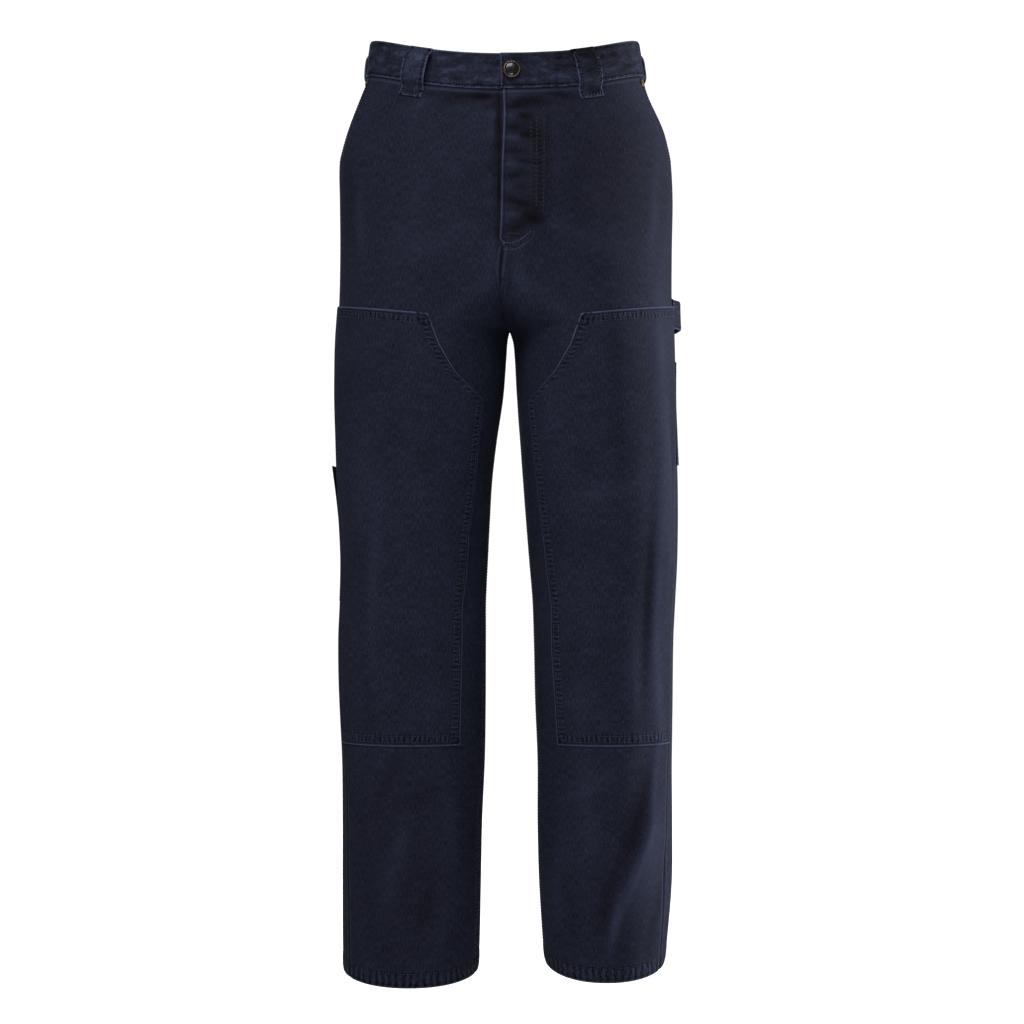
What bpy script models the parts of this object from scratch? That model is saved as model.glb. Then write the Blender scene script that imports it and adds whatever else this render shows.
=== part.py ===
# Straight double-knee carpenter jeans, filled out as if worn, open at the waist and at both hems.
# Metres, +Z up. The front faces -Y and the wearer's left is +X.
# The origin is the middle of the waistband at half its height, where a wearer's waist holds it.
#
# Every cloth piece is worked out on one shape, the outside of the body of the jeans.
# A place on it has a side (1 left, -1 right), a turn and a height.
# The turn is in degrees round the side or the leg: 0 at its outermost point, 180 at the centre front
# or the inside of the leg, and below 0 at the back. The height is the level at the outermost point.

import math
from collections import namedtuple

import bpy
from mathutils import Matrix, Vector

MM = 0.001
LEFT = 1
RIGHT = -1

# Cloth
CLOTH = 1.2 * MM
SEAM_GAP = 0.3 * MM
CLEAR = 0.3 * MM
HEM_CLOTH = 2.6 * MM
STRAP_CLOTH = 1.8 * MM

# Waist
BAND_TOP = 19.0 * MM
BAND_BOTTOM = -20.0 * MM
BAND_PROUD = 1.2 * MM
BAND_UNDER_TURNS = (161.0, 170.0)
BAND_END_TURN = 182.6
LAP_LIFT = 2.8 * MM
LAP_RAISED_FROM = 134.0
LAP_RAISED_OVER = 20.0
FRONT_DIP = 28.0 * MM
BACK_RISE = 8.5 * MM
DIP_END = -0.20

# Rise and legs
CROTCH = -0.300
FRONT_CURVE = 0.075
BACK_CURVE = 0.110
THIGH_BLEND = 0.15
HEM_LEVEL = {LEFT: -0.997, RIGHT: -1.007}
HEM_DEPTH = 0.016
HEM_TILT = {LEFT: 0.25, RIGHT: 0.19}
TILT_START = -0.80
TORSO_SQUARE = 2.3
LEG_SQUARE = 2.12

# Fly
FLY_END = -0.215
FLY_LIFT = 1.5 * MM
FLY_LAP_TURN = 1.6
FLY_RAISED_FROM = 148.0
FLY_RAISED_OVER = 14.0
SHIELD_BOTTOM = -0.211
SHIELD_PLACES = [(RIGHT, 176.0), (RIGHT, 180.0), (LEFT, 176.0), (LEFT, 168.0), (LEFT, 163.0)]

# Slash pockets
SLASH_END = -0.1157
SLASH_TOP_TURN = 25.0
SLASH_END_TURN = 3.0

# Outline from the front, and depth from the side, in millimetres, a row for each level
Level = namedtuple("Level", "height right_outer left_outer front back")
LEVELS = [
    Level(19, -150.0, 147.0, -102, 108),
    Level(0, -152.5, 150.0, -104, 111),
    Level(-21, -155.0, 153.5, -107, 115),
    Level(-43, -163.0, 160.0, -111, 122),
    Level(-77, -175.5, 175.0, -116, 134),
    Level(-99, -182.0, 181.0, -118, 142),
    Level(-116, -185.5, 184.0, -120, 147),
    Level(-155, -185.4, 186.0, -122, 155),
    Level(-210, -185.0, 185.2, -121, 157),
    Level(-266, -185.8, 184.8, -117, 147),
    Level(-300, -188.0, 185.7, -114, 136),
    Level(-312, -188.6, 186.0, -113, 131),
    Level(-332, -189.0, 186.3, -112, 124),
    Level(-377, -189.0, 187.2, -108, 109),
    Level(-421, -187.5, 188.8, -103, 96),
    Level(-466, -186.0, 190.4, -97, 86),
    Level(-510, -183.8, 190.7, -91, 78),
    Level(-555, -182.0, 190.0, -85, 73),
    Level(-599, -183.0, 187.9, -81, 73),
    Level(-644, -185.4, 186.0, -78, 77),
    Level(-711, -185.4, 185.5, -73, 82),
    Level(-777, -182.6, 184.8, -69, 84),
    Level(-844, -182.2, 185.3, -65, 84),
    Level(-911, -182.2, 185.0, -62, 83),
    Level(-977, -182.0, 179.6, -60, 83),
    Level(-1012, -181.4, 175.5, -60, 83),
]

# Centre seam, from the waist to the crotch, leaning a little as it is worn
Seam = namedtuple("Seam", "height across")
CENTRE_SEAM = [
    Seam(19, -0.5),
    Seam(-20, 1.0),
    Seam(-55, 2.0),
    Seam(-122, 0.4),
    Seam(-190, -0.6),
    Seam(-215, -2.6),
    Seam(-240, -5.4),
    Seam(-266, -5.6),
    Seam(-285, -3.4),
    Seam(-300, 4.0),
]

# Inside of each leg, from the crotch to the hem
Inside = namedtuple("Inside", "height right_inner left_inner")
INSIDES = [
    Inside(-300, 3.8, 4.2),
    Inside(-312, 1.6, 8.0),
    Inside(-332, 0.2, 10.0),
    Inside(-377, -3.3, 12.2),
    Inside(-421, -10.0, 15.6),
    Inside(-466, -15.2, 18.9),
    Inside(-510, -17.8, 22.2),
    Inside(-555, -20.0, 25.8),
    Inside(-599, -22.0, 29.4),
    Inside(-644, -22.2, 31.1),
    Inside(-711, -22.4, 32.6),
    Inside(-777, -23.4, 35.2),
    Inside(-844, -26.4, 35.2),
    Inside(-911, -27.8, 36.9),
    Inside(-977, -29.2, 41.0),
    Inside(-1012, -30.6, 44.0),
]

# How far each leg's side seams wander forward, in degrees
Twist = namedtuple("Twist", "height right_out right_in left_out left_in")
TWISTS = [
    Twist(-300, 0, 0, 0, 0),
    Twist(-400, 0, 2, 10, 1),
    Twist(-490, 2, 5, 20, 3),
    Twist(-600, 7, 8, 21, 5),
    Twist(-720, 14, 12, 20, 6),
    Twist(-800, 24, 15, 27, 7),
    Twist(-860, 26, 17, 28, 8),
    Twist(-930, 28, 17, 31, 8),
    Twist(-1012, 30, 17, 29, 8),
]

# Largest folds: middle, lean of the long axis, half width, half length and rise, in degrees and mm
Fold = namedtuple("Fold", "side turn height lean width reach rise")
FOLDS = [
    Fold(LEFT, 40, -470, 0, 13, 190, 3.0),
    Fold(LEFT, 24, -430, 0, 10, 75, -3.0),
    Fold(LEFT, 62, -872, -29, 14, 80, 3.6),
    Fold(LEFT, 84, -850, -29, 15, 62, -2.4),
    Fold(LEFT, 36, -902, -24, 12, 50, -2.2),
    Fold(LEFT, 118, -545, 76, 14, 40, -1.8),
    Fold(LEFT, -118, -560, 74, 11, 48, -3.4),
    Fold(LEFT, -96, -590, 84, 10, 42, 2.6),
    Fold(LEFT, -128, -622, -78, 12, 44, -2.8),
    Fold(LEFT, -132, -338, 58, 13, 52, -3.6),
    Fold(LEFT, -104, -372, 66, 12, 50, -2.8),
    Fold(LEFT, -90, -905, 60, 14, 60, -3.0),
    Fold(LEFT, -120, -950, 72, 12, 46, 2.4),
    Fold(RIGHT, 52, -468, 3, 18, 160, 1.8),
    Fold(RIGHT, 112, -600, -70, 15, 44, -1.6),
    Fold(RIGHT, 70, -905, -20, 18, 70, 2.2),
    Fold(RIGHT, 104, -880, -22, 16, 60, -2.0),
    Fold(RIGHT, -116, -552, 78, 11, 50, -3.2),
    Fold(RIGHT, -94, -584, 70, 10, 40, 2.4),
    Fold(RIGHT, -126, -612, -82, 12, 46, -3.0),
    Fold(RIGHT, -130, -342, 54, 13, 50, -3.4),
    Fold(RIGHT, -102, -380, 70, 12, 46, -2.6),
    Fold(RIGHT, -94, -890, 66, 14, 56, -2.8),
    Fold(RIGHT, -122, -940, 80, 12, 44, 2.2),
]
FOLD_MM_PER_DEGREE = 1.5

# Knee patch: where its inner edge lies, across and down from the origin
PatchEdge = namedtuple("PatchEdge", "height right_across left_across")
PATCH_EDGES = [
    PatchEdge(-289, -83.5, 80.5),
    PatchEdge(-322, -71.0, 69.0),
    PatchEdge(-350, -55.0, 53.0),
    PatchEdge(-381, -24.5, 25.0),
    PatchEdge(-412, -28.5, 28.0),
    PatchEdge(-450, -32.0, 32.0),
    PatchEdge(-487, -35.3, 36.5),
    PatchEdge(-527, -40.5, 40.5),
    PatchEdge(-565, -42.8, 45.0),
    PatchEdge(-604, -47.2, 50.0),
    PatchEdge(-652, -48.2, 50.5),
    PatchEdge(-700, -49.3, 53.5),
    PatchEdge(-756, -50.4, 57.0),
]
PATCH_TOP_OUTER = -0.272
PATCH_TOP_INNER = -0.289
PATCH_BOTTOM = -0.756
PATCH_TURN_ABOVE = 108.0
PATCH_TURN_BELOW = 118.0

# Rows of every panel, in millimetres down the side; the crotch rows follow the curve of the seat seam
TORSO_ROWS = [-20, -45, -70, -93, -115.7, -140, -165, -190, -210, -225]
CROTCH_ROWS = [-244.4, -262.5, -278, -290, -297.6, -300]
LEG_ROWS = [
    -314, -335, -360, -390, -420, -450, -480, -510, -540, -570, -600, -640, -680, -720, -756,
    -790, -825, -860, -895, -930, -960,
]
PATCH_TOP_ROW = 12
PATCH_TOP_LEVEL = -0.278
BACK_FIRST_ROW = 4
FRONT_COLUMNS = 16
PATCH_COLUMNS = 10
SEAM_COLUMN_TURN = 4.0
BACK_COLUMNS = 14
# Each front and back is two solids that meet at this row, so that each follows the leg closely
SPLIT_ROW = 22
SLASH_STEPS = 4
SLASH_ROWS = 6

# Back: yoke seam, patch pockets and tool pockets
YOKE_SIDE = -0.062
YOKE_CENTRE = -0.100
POCKET_COLUMNS = (4, 10)
POCKET_ROWS = (4, 11)
POCKET_SEAT_TURNS = (34.0, 124.0)
POCKET_POINT = 0.014
POCKET_POINT_ROWS = 4.0
POCKET_TOP_SLOPE = 0.010
POCKET_SLOPE_ROWS = 3.0
TOOL_COLUMNS = 5
TOOL_ROWS = {LEFT: (17, 21), RIGHT: (21, 26)}
TOOL_GAPE = {LEFT: 3.0 * MM, RIGHT: 9.0 * MM}
TOOL_OPEN_SHARE = 0.45
TOOL_OPEN_CURVE = 1.3
TOOL_FIRST_COLUMN = 0.9

# Hammer loop on the left leg
HAMMER_WIDTH = 0.033
HAMMER_HEIGHT = -0.279
HAMMER_TURNS = (-2.0, -70.0)
HAMMER_FALL = 0.012
HAMMER_BOW = 12.0 * MM
HAMMER_RISE_SHARE = 0.16
HAMMER_RETURN_SHARE = 0.20
HAMMER_STEPS = 14

# Belt loops: side, and the turn of the middle at the top and at the bottom
LOOP_WIDTH = 0.027
BELT_LOOPS = [
    ("belt_loop_front_right", RIGHT, 112.7, 104.4),
    ("belt_loop_front_left", LEFT, 118.9, 113.9),
    ("belt_loop_side_right", RIGHT, -43.0, -43.0),
    ("belt_loop_side_left", LEFT, -43.0, -43.0),
    ("belt_loop_centre_back", LEFT, -180.0, -180.0),
]
LoopBend = namedtuple("LoopBend", "height lift")
LOOP_BENDS = [
    LoopBend(19.0, 1.7),
    LoopBend(15.0, 2.3),
    LoopBend(11.0, 7.2),
    LoopBend(6.0, 9.8),
    LoopBend(-4.0, 10.2),
    LoopBend(-14.0, 9.8),
    LoopBend(-20.5, 7.0),
    LoopBend(-26.5, 0.8),
    LoopBend(-36.0, 0.6),
]

# Button and rivets
BUTTON_RADIUS = 9.0 * MM
BUTTON_TURN = 177.1
BUTTON_HEIGHT = -0.6 * MM
RIVET_RADIUS = 4.2 * MM
RIVET_HEIGHT = -27.5 * MM
RIVET_TURN = {LEFT: 34.0, RIGHT: 30.0}

CLOTH_COLOUR = (0.016, 0.019, 0.038)
BRASS_COLOUR = (0.50, 0.33, 0.13)
DARK_COLOUR = (0.012, 0.010, 0.010)


def smooth(value):
    t = min(max(value, 0.0), 1.0)
    return t * t * (3.0 - 2.0 * t)


def mix(start, end, share):
    return start + (end - start) * share


def lookup(table, height, column):
    """Smoothly read one column of a table at a height; outside the table its end value holds."""
    level = height / MM
    values = [getattr(row, column) for row in table]
    heights = [row.height for row in table]
    if level >= heights[0]:
        return values[0]
    if level <= heights[-1]:
        return values[-1]
    low = 0
    while heights[low + 1] > level:
        low += 1
    slopes = []
    for k in (low, low + 1):
        before = max(k - 1, 0)
        after = min(k + 1, len(values) - 1)
        slopes.append((values[after] - values[before]) / (heights[after] - heights[before]))
    span = heights[low + 1] - heights[low]
    t = (level - heights[low]) / span
    rising = t * t * (3.0 - 2.0 * t)
    start = t * (1.0 - t) ** 2 * span * slopes[0]
    end = t * t * (t - 1.0) * span * slopes[1]
    return values[low] * (1.0 - rising) + values[low + 1] * rising + start + end


def edges_at(side, height):
    """Outermost and innermost x of one side at a level; above the crotch the inner one is the centre seam."""
    name = "left" if side == LEFT else "right"
    outer = lookup(LEVELS, height, name + "_outer") * MM
    if height >= CROTCH:
        inner = lookup(CENTRE_SEAM, height, "across") * MM + side * 0.2 * MM
    else:
        inner = lookup(INSIDES, height, name + "_inner") * MM
    return outer, inner


def turn_of_seams(side, height):
    name = "left" if side == LEFT else "right"
    return lookup(TWISTS, height, name + "_out"), lookup(TWISTS, height, name + "_in")


def rounded(angle, squareness):
    """Cosine and sine of an angle on a slightly squared circle."""
    power = 2.0 / squareness
    cosine = math.cos(angle)
    sine = math.sin(angle)
    return (
        math.copysign(abs(cosine) ** power, cosine),
        math.copysign(abs(sine) ** power, sine),
    )


def rounded_depth(share, squareness):
    """Depth of a slightly squared circle of radius 1 at a share of its half width."""
    return max(0.0, 1.0 - min(abs(share), 1.0) ** squareness) ** (1.0 / squareness)


def seam_share(height, depth_of_curve):
    """How far the centre seam has turned under, from 0 at the top of its curve to 1 at the crotch."""
    t = (height - CROTCH) / depth_of_curve
    if t >= 1.0:
        return 0.0
    if t <= 0.0:
        return 1.0
    return 1.0 - math.sqrt(1.0 - (1.0 - t) ** 2)


def body_point(side, turn, height):
    """A point on the outside of the cloth, before its folds."""
    outer, inner = edges_at(side, height)
    front = lookup(LEVELS, height, "front") * MM
    back = lookup(LEVELS, height, "back") * MM
    middle = (front + back) / 2.0
    reach = (back - front) / 2.0
    leg_middle = (outer + inner) / 2.0
    leg_half = (outer - inner) / 2.0

    leg_cos, leg_sin = rounded(math.radians(turn), LEG_SQUARE)
    torso_cos, torso_sin = rounded(math.radians(turn / 2), TORSO_SQUARE)
    leg = Vector((leg_middle + leg_half * leg_cos, middle - reach * leg_sin))
    torso = Vector((inner + (outer - inner) * torso_cos, middle - reach * torso_sin))

    top_of_blend = CROTCH + max(THIGH_BLEND, FRONT_CURVE, BACK_CURVE)
    if height <= CROTCH:
        flat = leg
    elif height >= top_of_blend or abs(turn) > 180.0:
        flat = torso
    else:
        thigh = smooth((CROTCH + THIGH_BLEND - height) / THIGH_BLEND)
        under = seam_share(height, FRONT_CURVE if turn > 0 else BACK_CURVE)
        across = mix(torso.x, leg.x, thigh)
        torso_depth = rounded_depth((across - inner) / (outer - inner), TORSO_SQUARE)
        leg_depth = rounded_depth((across - leg_middle) / leg_half, LEG_SQUARE)
        outward = smooth(((across - inner) / leg_half - 0.25) / 0.75)
        depth = mix(torso_depth, leg_depth, mix(under, thigh, outward))
        flat = Vector((across, middle - math.copysign(reach * depth, turn)))

    dip = math.sin(math.radians(turn / 2)) ** 2
    dip *= -FRONT_DIP if turn > 0 else BACK_RISE
    dip *= smooth((height - DIP_END) / (BAND_BOTTOM - DIP_END))
    tilt = HEM_TILT[side] * smooth((TILT_START - height) / (TILT_START - HEM_LEVEL[side]))
    return Vector((flat.x, flat.y, height + dip + tilt * (flat.y - middle)))


def body_normal(side, turn, height):
    """The way out of the cloth at a place."""
    step = 0.5
    ahead = turn + step
    behind = turn - step
    if CROTCH - 0.5 * MM <= height < CROTCH + BACK_CURVE and abs(turn) <= 180.0:
        ahead = min(ahead, 180.0)
        behind = max(behind, -180.0)
    up = height + 1.0 * MM
    down = height - 1.0 * MM
    if height >= CROTCH and down < CROTCH:
        down = height
        up = height + 0.4 * MM
    round_way = body_point(side, ahead, height) - body_point(side, behind, height)
    up_way = body_point(side, turn, up) - body_point(side, turn, down)
    return (up_way.cross(round_way) * side).normalized()


def fold_rise(side, turn, height):
    total = 0.0
    for fold in FOLDS:
        if fold.side != side:
            continue
        degrees = turn - fold.turn
        if height < CROTCH:
            degrees = (degrees + 180.0) % 360.0 - 180.0
        around = degrees * FOLD_MM_PER_DEGREE
        along = height / MM - fold.height
        lean = math.radians(fold.lean)
        length = along * math.cos(lean) + around * math.sin(lean)
        across = around * math.cos(lean) - along * math.sin(lean)
        total += fold.rise * math.exp(-(across / fold.width) ** 2 - (length / fold.reach) ** 2)
    fade = smooth((abs(abs(turn) - 180.0)) / 25.0) if height > CROTCH else 1.0
    return total * fade * MM


def cloth_point(side, turn, height, lift):
    """A point moved out of the body by a lift."""
    normal = body_normal(side, turn, height)
    return body_point(side, turn, height) + normal * (fold_rise(side, turn, height) + lift)


def turn_at(side, across, height):
    """The turn at which the front has the given x."""
    low, high = 0.0, 180.0
    for _ in range(40):
        middle = (low + high) / 2
        if (body_point(side, middle, height).x - across) * side > 0:
            low = middle
        else:
            high = middle
    return (low + high) / 2


def make_material(name, colour, roughness, metallic):
    material = bpy.data.materials.new(name)
    material.use_nodes = True
    shader = material.node_tree.nodes["Principled BSDF"]
    shader.inputs["Base Color"].default_value = (*colour, 1.0)
    shader.inputs["Roughness"].default_value = roughness
    shader.inputs["Metallic"].default_value = metallic
    return material


def add_object(name, points, faces, colour, roughness=0.9, metallic=0.0, sharp=60.0):
    mesh = bpy.data.meshes.new(name)
    mesh.from_pydata(points, [], faces)
    mesh.update()
    mesh.shade_smooth()
    mesh.set_sharp_from_angle(angle=math.radians(sharp))
    mesh.materials.append(make_material(name, colour, roughness, metallic))
    thing = bpy.data.objects.new(name, mesh)
    bpy.context.scene.collection.objects.link(thing)
    split = thing.modifiers.new("Triangles", "TRIANGULATE")
    split.quad_method = "FIXED"
    return thing


def add_sheet(name, outer, inner):
    """A closed wall between two grids of points, each a list of rows."""
    rows = len(outer)
    columns = len(outer[0])
    points = [point for row in outer for point in row] + [point for row in inner for point in row]
    under = rows * columns

    across = outer[0][1] - outer[0][0]
    down = outer[1][0] - outer[0][0]
    outward = outer[0][0] - inner[0][0]
    facing_out = across.cross(down).dot(outward) > 0

    def quad(a, b, c, d, keep):
        return (a, b, c, d) if keep else (a, d, c, b)

    faces = []
    for i in range(rows - 1):
        for j in range(columns - 1):
            corner = i * columns + j
            next_row = corner + columns
            faces.append(quad(corner, corner + 1, next_row + 1, next_row, facing_out))
            corner += under
            next_row += under
            faces.append(quad(corner, corner + 1, next_row + 1, next_row, not facing_out))
    for j in range(columns - 1):
        last = (rows - 1) * columns + j
        faces.append(quad(j, j + 1, under + j + 1, under + j, not facing_out))
        faces.append(quad(last, last + 1, under + last + 1, under + last, facing_out))
    for i in range(rows - 1):
        first = i * columns
        last = first + columns - 1
        faces.append(quad(first, first + columns, under + first + columns, under + first, facing_out))
        faces.append(quad(last, last + columns, under + last + columns, under + last, not facing_out))
    return add_object(name, points, faces, CLOTH_COLOUR)


def trim(row, first, last):
    """Draw the ends of a row back by half a seam gap."""
    if first:
        row[0] = row[0] + (row[1] - row[0]).normalized() * (SEAM_GAP / 2)
    if last:
        row[-1] = row[-1] + (row[-2] - row[-1]).normalized() * (SEAM_GAP / 2)


def add_panel(name, side, grid, lift_inner, lift_outer, first_seam=True, last_seam=True):
    """A sheet over a grid of places; the lifts are numbers or functions of column, turn and height."""
    def value(lift, column, turn, height):
        return lift(column, turn, height) if callable(lift) else lift

    outer = []
    inner = []
    for row in grid:
        outer_row = []
        inner_row = []
        for column, (turn, height) in enumerate(row):
            outer_lift = value(lift_outer, column, turn, height)
            inner_lift = value(lift_inner, column, turn, height)
            outer_row.append(cloth_point(side, turn, height, outer_lift))
            inner_row.append(cloth_point(side, turn, height, inner_lift))
        trim(outer_row, first_seam, last_seam)
        trim(inner_row, first_seam, last_seam)
        outer.append(outer_row)
        inner.append(inner_row)
    return add_sheet(name, outer, inner)


def row_heights(side):
    """All the levels of a panel from the band to the hem."""
    hem = HEM_LEVEL[side] / MM
    levels = TORSO_ROWS + CROTCH_ROWS + LEG_ROWS + [hem + HEM_DEPTH / MM, hem]
    heights = [level * MM for level in levels]
    heights[0] = BAND_BOTTOM - SEAM_GAP
    return heights


def slash_turn(height):
    """The turn of the slash pocket's edge; below the pocket it is the outseam."""
    if height < SLASH_END - 1.0 * MM:
        return 0.0
    share = (height - SLASH_END) / (BAND_BOTTOM - SLASH_END)
    return mix(SLASH_END_TURN, SLASH_TOP_TURN, share ** 0.9 if share > 0 else 0.0)


def patch_turn(side, height):
    """The turn of the knee patch's inner edge, carried on above and below the patch."""
    column = "left_across" if side == LEFT else "right_across"
    level = min(max(height, PATCH_BOTTOM), PATCH_TOP_INNER)
    turn = turn_at(side, lookup(PATCH_EDGES, level, column) * MM, level)
    if height > PATCH_TOP_INNER:
        turn = mix(turn, PATCH_TURN_ABOVE, smooth((height - PATCH_TOP_INNER) / 0.10))
    if height < PATCH_BOTTOM:
        turn = mix(turn, PATCH_TURN_BELOW, smooth((PATCH_BOTTOM - height) / 0.12))
    return turn


def front_grid(side):
    grid = []
    for height in row_heights(side):
        out_turn, in_turn = turn_of_seams(side, height)
        fade = max(0.0, 1.0 - abs(height - PATCH_TOP_LEVEL) / 0.06)
        warp_outer = (PATCH_TOP_OUTER - PATCH_TOP_LEVEL) * fade
        warp_inner = (PATCH_TOP_INNER - PATCH_TOP_LEVEL) * fade
        start = max(slash_turn(height), out_turn)
        edge = patch_turn(side, height + warp_inner)
        end = 180.0 - in_turn
        last_but_one = end - SEAM_COLUMN_TURN
        if side == LEFT:
            end += FLY_LAP_TURN * smooth((height - FLY_END) / 0.006)
        row = []
        for column in range(FRONT_COLUMNS + 1):
            if column <= PATCH_COLUMNS:
                share = column / PATCH_COLUMNS
                turn = mix(start, edge, share)
                warp = mix(warp_outer, warp_inner, share)
            elif column < FRONT_COLUMNS:
                share = (column - PATCH_COLUMNS) / (FRONT_COLUMNS - 1 - PATCH_COLUMNS)
                turn = mix(edge, last_but_one, share)
                warp = mix(warp_inner, 0.0, share)
            else:
                turn = end
                warp = 0.0
            row.append((turn, height + warp))
        grid.append(row)
    return grid


def back_turns(side, height):
    """Turns of a back row, from the outseam to the centre back or the inseam."""
    out_turn, in_turn = turn_of_seams(side, height)
    seat = smooth((height - CROTCH + 0.08) / 0.10)
    first, last = POCKET_COLUMNS
    inner_turn = mix(180.0 * last / BACK_COLUMNS, POCKET_SEAT_TURNS[1], seat)
    outer_turn = mix(180.0 * first / BACK_COLUMNS, POCKET_SEAT_TURNS[0], seat)
    stops = [(0, out_turn), (first, -outer_turn), (last, -inner_turn), (BACK_COLUMNS, -180.0 - in_turn)]
    turns = []
    for (low, low_turn), (high, high_turn) in zip(stops, stops[1:]):
        for column in range(low, high):
            turns.append(mix(low_turn, high_turn, (column - low) / (high - low)))
    turns.append(stops[-1][1])
    return turns


def yoke_seam(turn):
    """Level of the yoke seam, lower at the centre back."""
    return mix(YOKE_SIDE, YOKE_CENTRE, abs(turn) / 180.0)


def back_grid(side):
    heights = row_heights(side)
    first, last = POCKET_COLUMNS
    top, bottom = POCKET_ROWS
    grid = []
    seam_turns = back_turns(side, YOKE_SIDE)
    grid.append([(turn, yoke_seam(turn) - SEAM_GAP / 2) for turn in seam_turns])
    for index in range(BACK_FIRST_ROW, len(heights)):
        height = heights[index]
        row = []
        for column, turn in enumerate(back_turns(side, height)):
            slope = -POCKET_TOP_SLOPE * smooth(column / BACK_COLUMNS)
            slope *= max(0.0, 1.0 - (index - top) / POCKET_SLOPE_ROWS)
            middle = 1.0 - abs(column - (first + last) / 2) / ((last - first) / 2)
            point = -POCKET_POINT * max(0.0, middle)
            point *= max(0.0, 1.0 - abs(index - bottom) / POCKET_POINT_ROWS)
            row.append((turn, height + slope + point))
        grid.append(row)
    return grid


def sub_grid(grid, rows, columns):
    return [row[columns[0]:columns[1] + 1] for row in grid[rows[0]:rows[1] + 1]]


def split_grid(grid, index):
    """The upper and the lower part of a grid, drawn back from a row by half a seam gap each."""
    upper_edge = [(turn, height + SEAM_GAP / 2) for turn, height in grid[index]]
    lower_edge = [(turn, height - SEAM_GAP / 2) for turn, height in grid[index]]
    return grid[:index] + [upper_edge], [lower_edge] + grid[index + 1:]


def hem_lift(side):
    """Inner face of a panel: one layer, and the turned-up layers behind the hem's stitching."""
    def lift(column, turn, height):
        return -HEM_CLOTH if height <= HEM_LEVEL[side] + HEM_DEPTH + 0.1 * MM else -CLOTH
    return lift


def fly_raise(turn, height):
    """How far the left front stands off over the right one along the fly."""
    along = smooth((height - FLY_END + 0.035) / 0.030)
    return FLY_LIFT * along * smooth((turn - FLY_RAISED_FROM) / FLY_RAISED_OVER)


def build_fronts():
    for side, word in ((LEFT, "left"), (RIGHT, "right")):
        grid = front_grid(side)
        upper, lower = split_grid(grid, SPLIT_ROW)
        if side == LEFT:
            add_panel(
                "front_left_upper", side, upper,
                lambda column, turn, height: fly_raise(turn, height) - CLOTH,
                lambda column, turn, height: fly_raise(turn, height),
            )
        else:
            add_panel("front_right_upper", side, upper, -CLOTH, 0.0)
        add_panel("front_" + word + "_lower", side, lower, hem_lift(side), 0.0)

        bottom_row = [round(row[0][1], 4) for row in grid].index(PATCH_BOTTOM)
        patch = sub_grid(grid, (PATCH_TOP_ROW, bottom_row), (0, PATCH_COLUMNS))
        add_panel("knee_patch_" + word, side, patch, CLEAR, CLEAR + CLOTH, last_seam=False)

        piece = []
        for row in grid[:SLASH_ROWS]:
            slash, height = row[0]
            slash = max(slash, SLASH_END_TURN)
            turns = [mix(0.0, slash, k / SLASH_STEPS) for k in range(SLASH_STEPS + 1)] + [row[1][0]]
            piece.append([(turn, height) for turn in turns])
        low = -CLOTH - CLEAR
        add_panel("pocket_side_" + word, side, piece, low - CLOTH, low, last_seam=False)


def build_fly_shield():
    """The plain piece behind the fly, which closes the gap between the two fronts."""
    heights = [height for height in row_heights(LEFT) if height >= SHIELD_BOTTOM]
    low = -CLOTH - CLEAR - 0.1 * MM
    outer = []
    inner = []
    for height in heights:
        outer.append([cloth_point(side, turn, height, low) for side, turn in SHIELD_PLACES])
        inner.append([cloth_point(side, turn, height, low - CLOTH) for side, turn in SHIELD_PLACES])
    add_sheet("fly_shield", outer, inner)


def build_backs():
    for side, word in ((LEFT, "left"), (RIGHT, "right")):
        grid = back_grid(side)
        skipped = BACK_FIRST_ROW - 1
        upper, lower = split_grid(grid, SPLIT_ROW - skipped)
        add_panel("back_" + word + "_upper", side, upper, -CLOTH, 0.0)
        add_panel("back_" + word + "_lower", side, lower, hem_lift(side), 0.0)

        turns = back_turns(side, YOKE_SIDE)
        top = BAND_BOTTOM - SEAM_GAP
        yoke = []
        for share in (0.0, 0.25, 0.5, 1.0):
            yoke.append([(turn, mix(top, yoke_seam(turn) + SEAM_GAP / 2, share)) for turn in turns])
        add_panel("yoke_" + word, side, yoke, -CLOTH, 0.0)

        rows = (POCKET_ROWS[0] - skipped, POCKET_ROWS[1] - skipped)
        pocket = sub_grid(grid, rows, POCKET_COLUMNS)
        add_panel("back_pocket_" + word, side, pocket, CLEAR, CLEAR + CLOTH, False, False)

        top_row, bottom_row = TOOL_ROWS[side]
        tool = sub_grid(grid, (top_row - skipped, bottom_row - skipped), (0, TOOL_COLUMNS))
        mouth = tool[0][0][1]
        length = mouth - tool[-1][0][1]

        def gape(column, turn, height, side=side, mouth=mouth, length=length):
            open_share = max(0.0, 1.0 - (mouth - height) / (TOOL_OPEN_SHARE * length))
            across = (column + TOOL_FIRST_COLUMN) / (TOOL_COLUMNS + TOOL_FIRST_COLUMN)
            hump = math.sin(math.pi * min(1.0, across))
            return CLEAR + TOOL_GAPE[side] * open_share ** TOOL_OPEN_CURVE * hump

        add_panel(
            "tool_pocket_" + word, side, tool, gape,
            lambda column, turn, height: gape(column, turn, height) + CLOTH,
            last_seam=False,
        )


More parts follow.
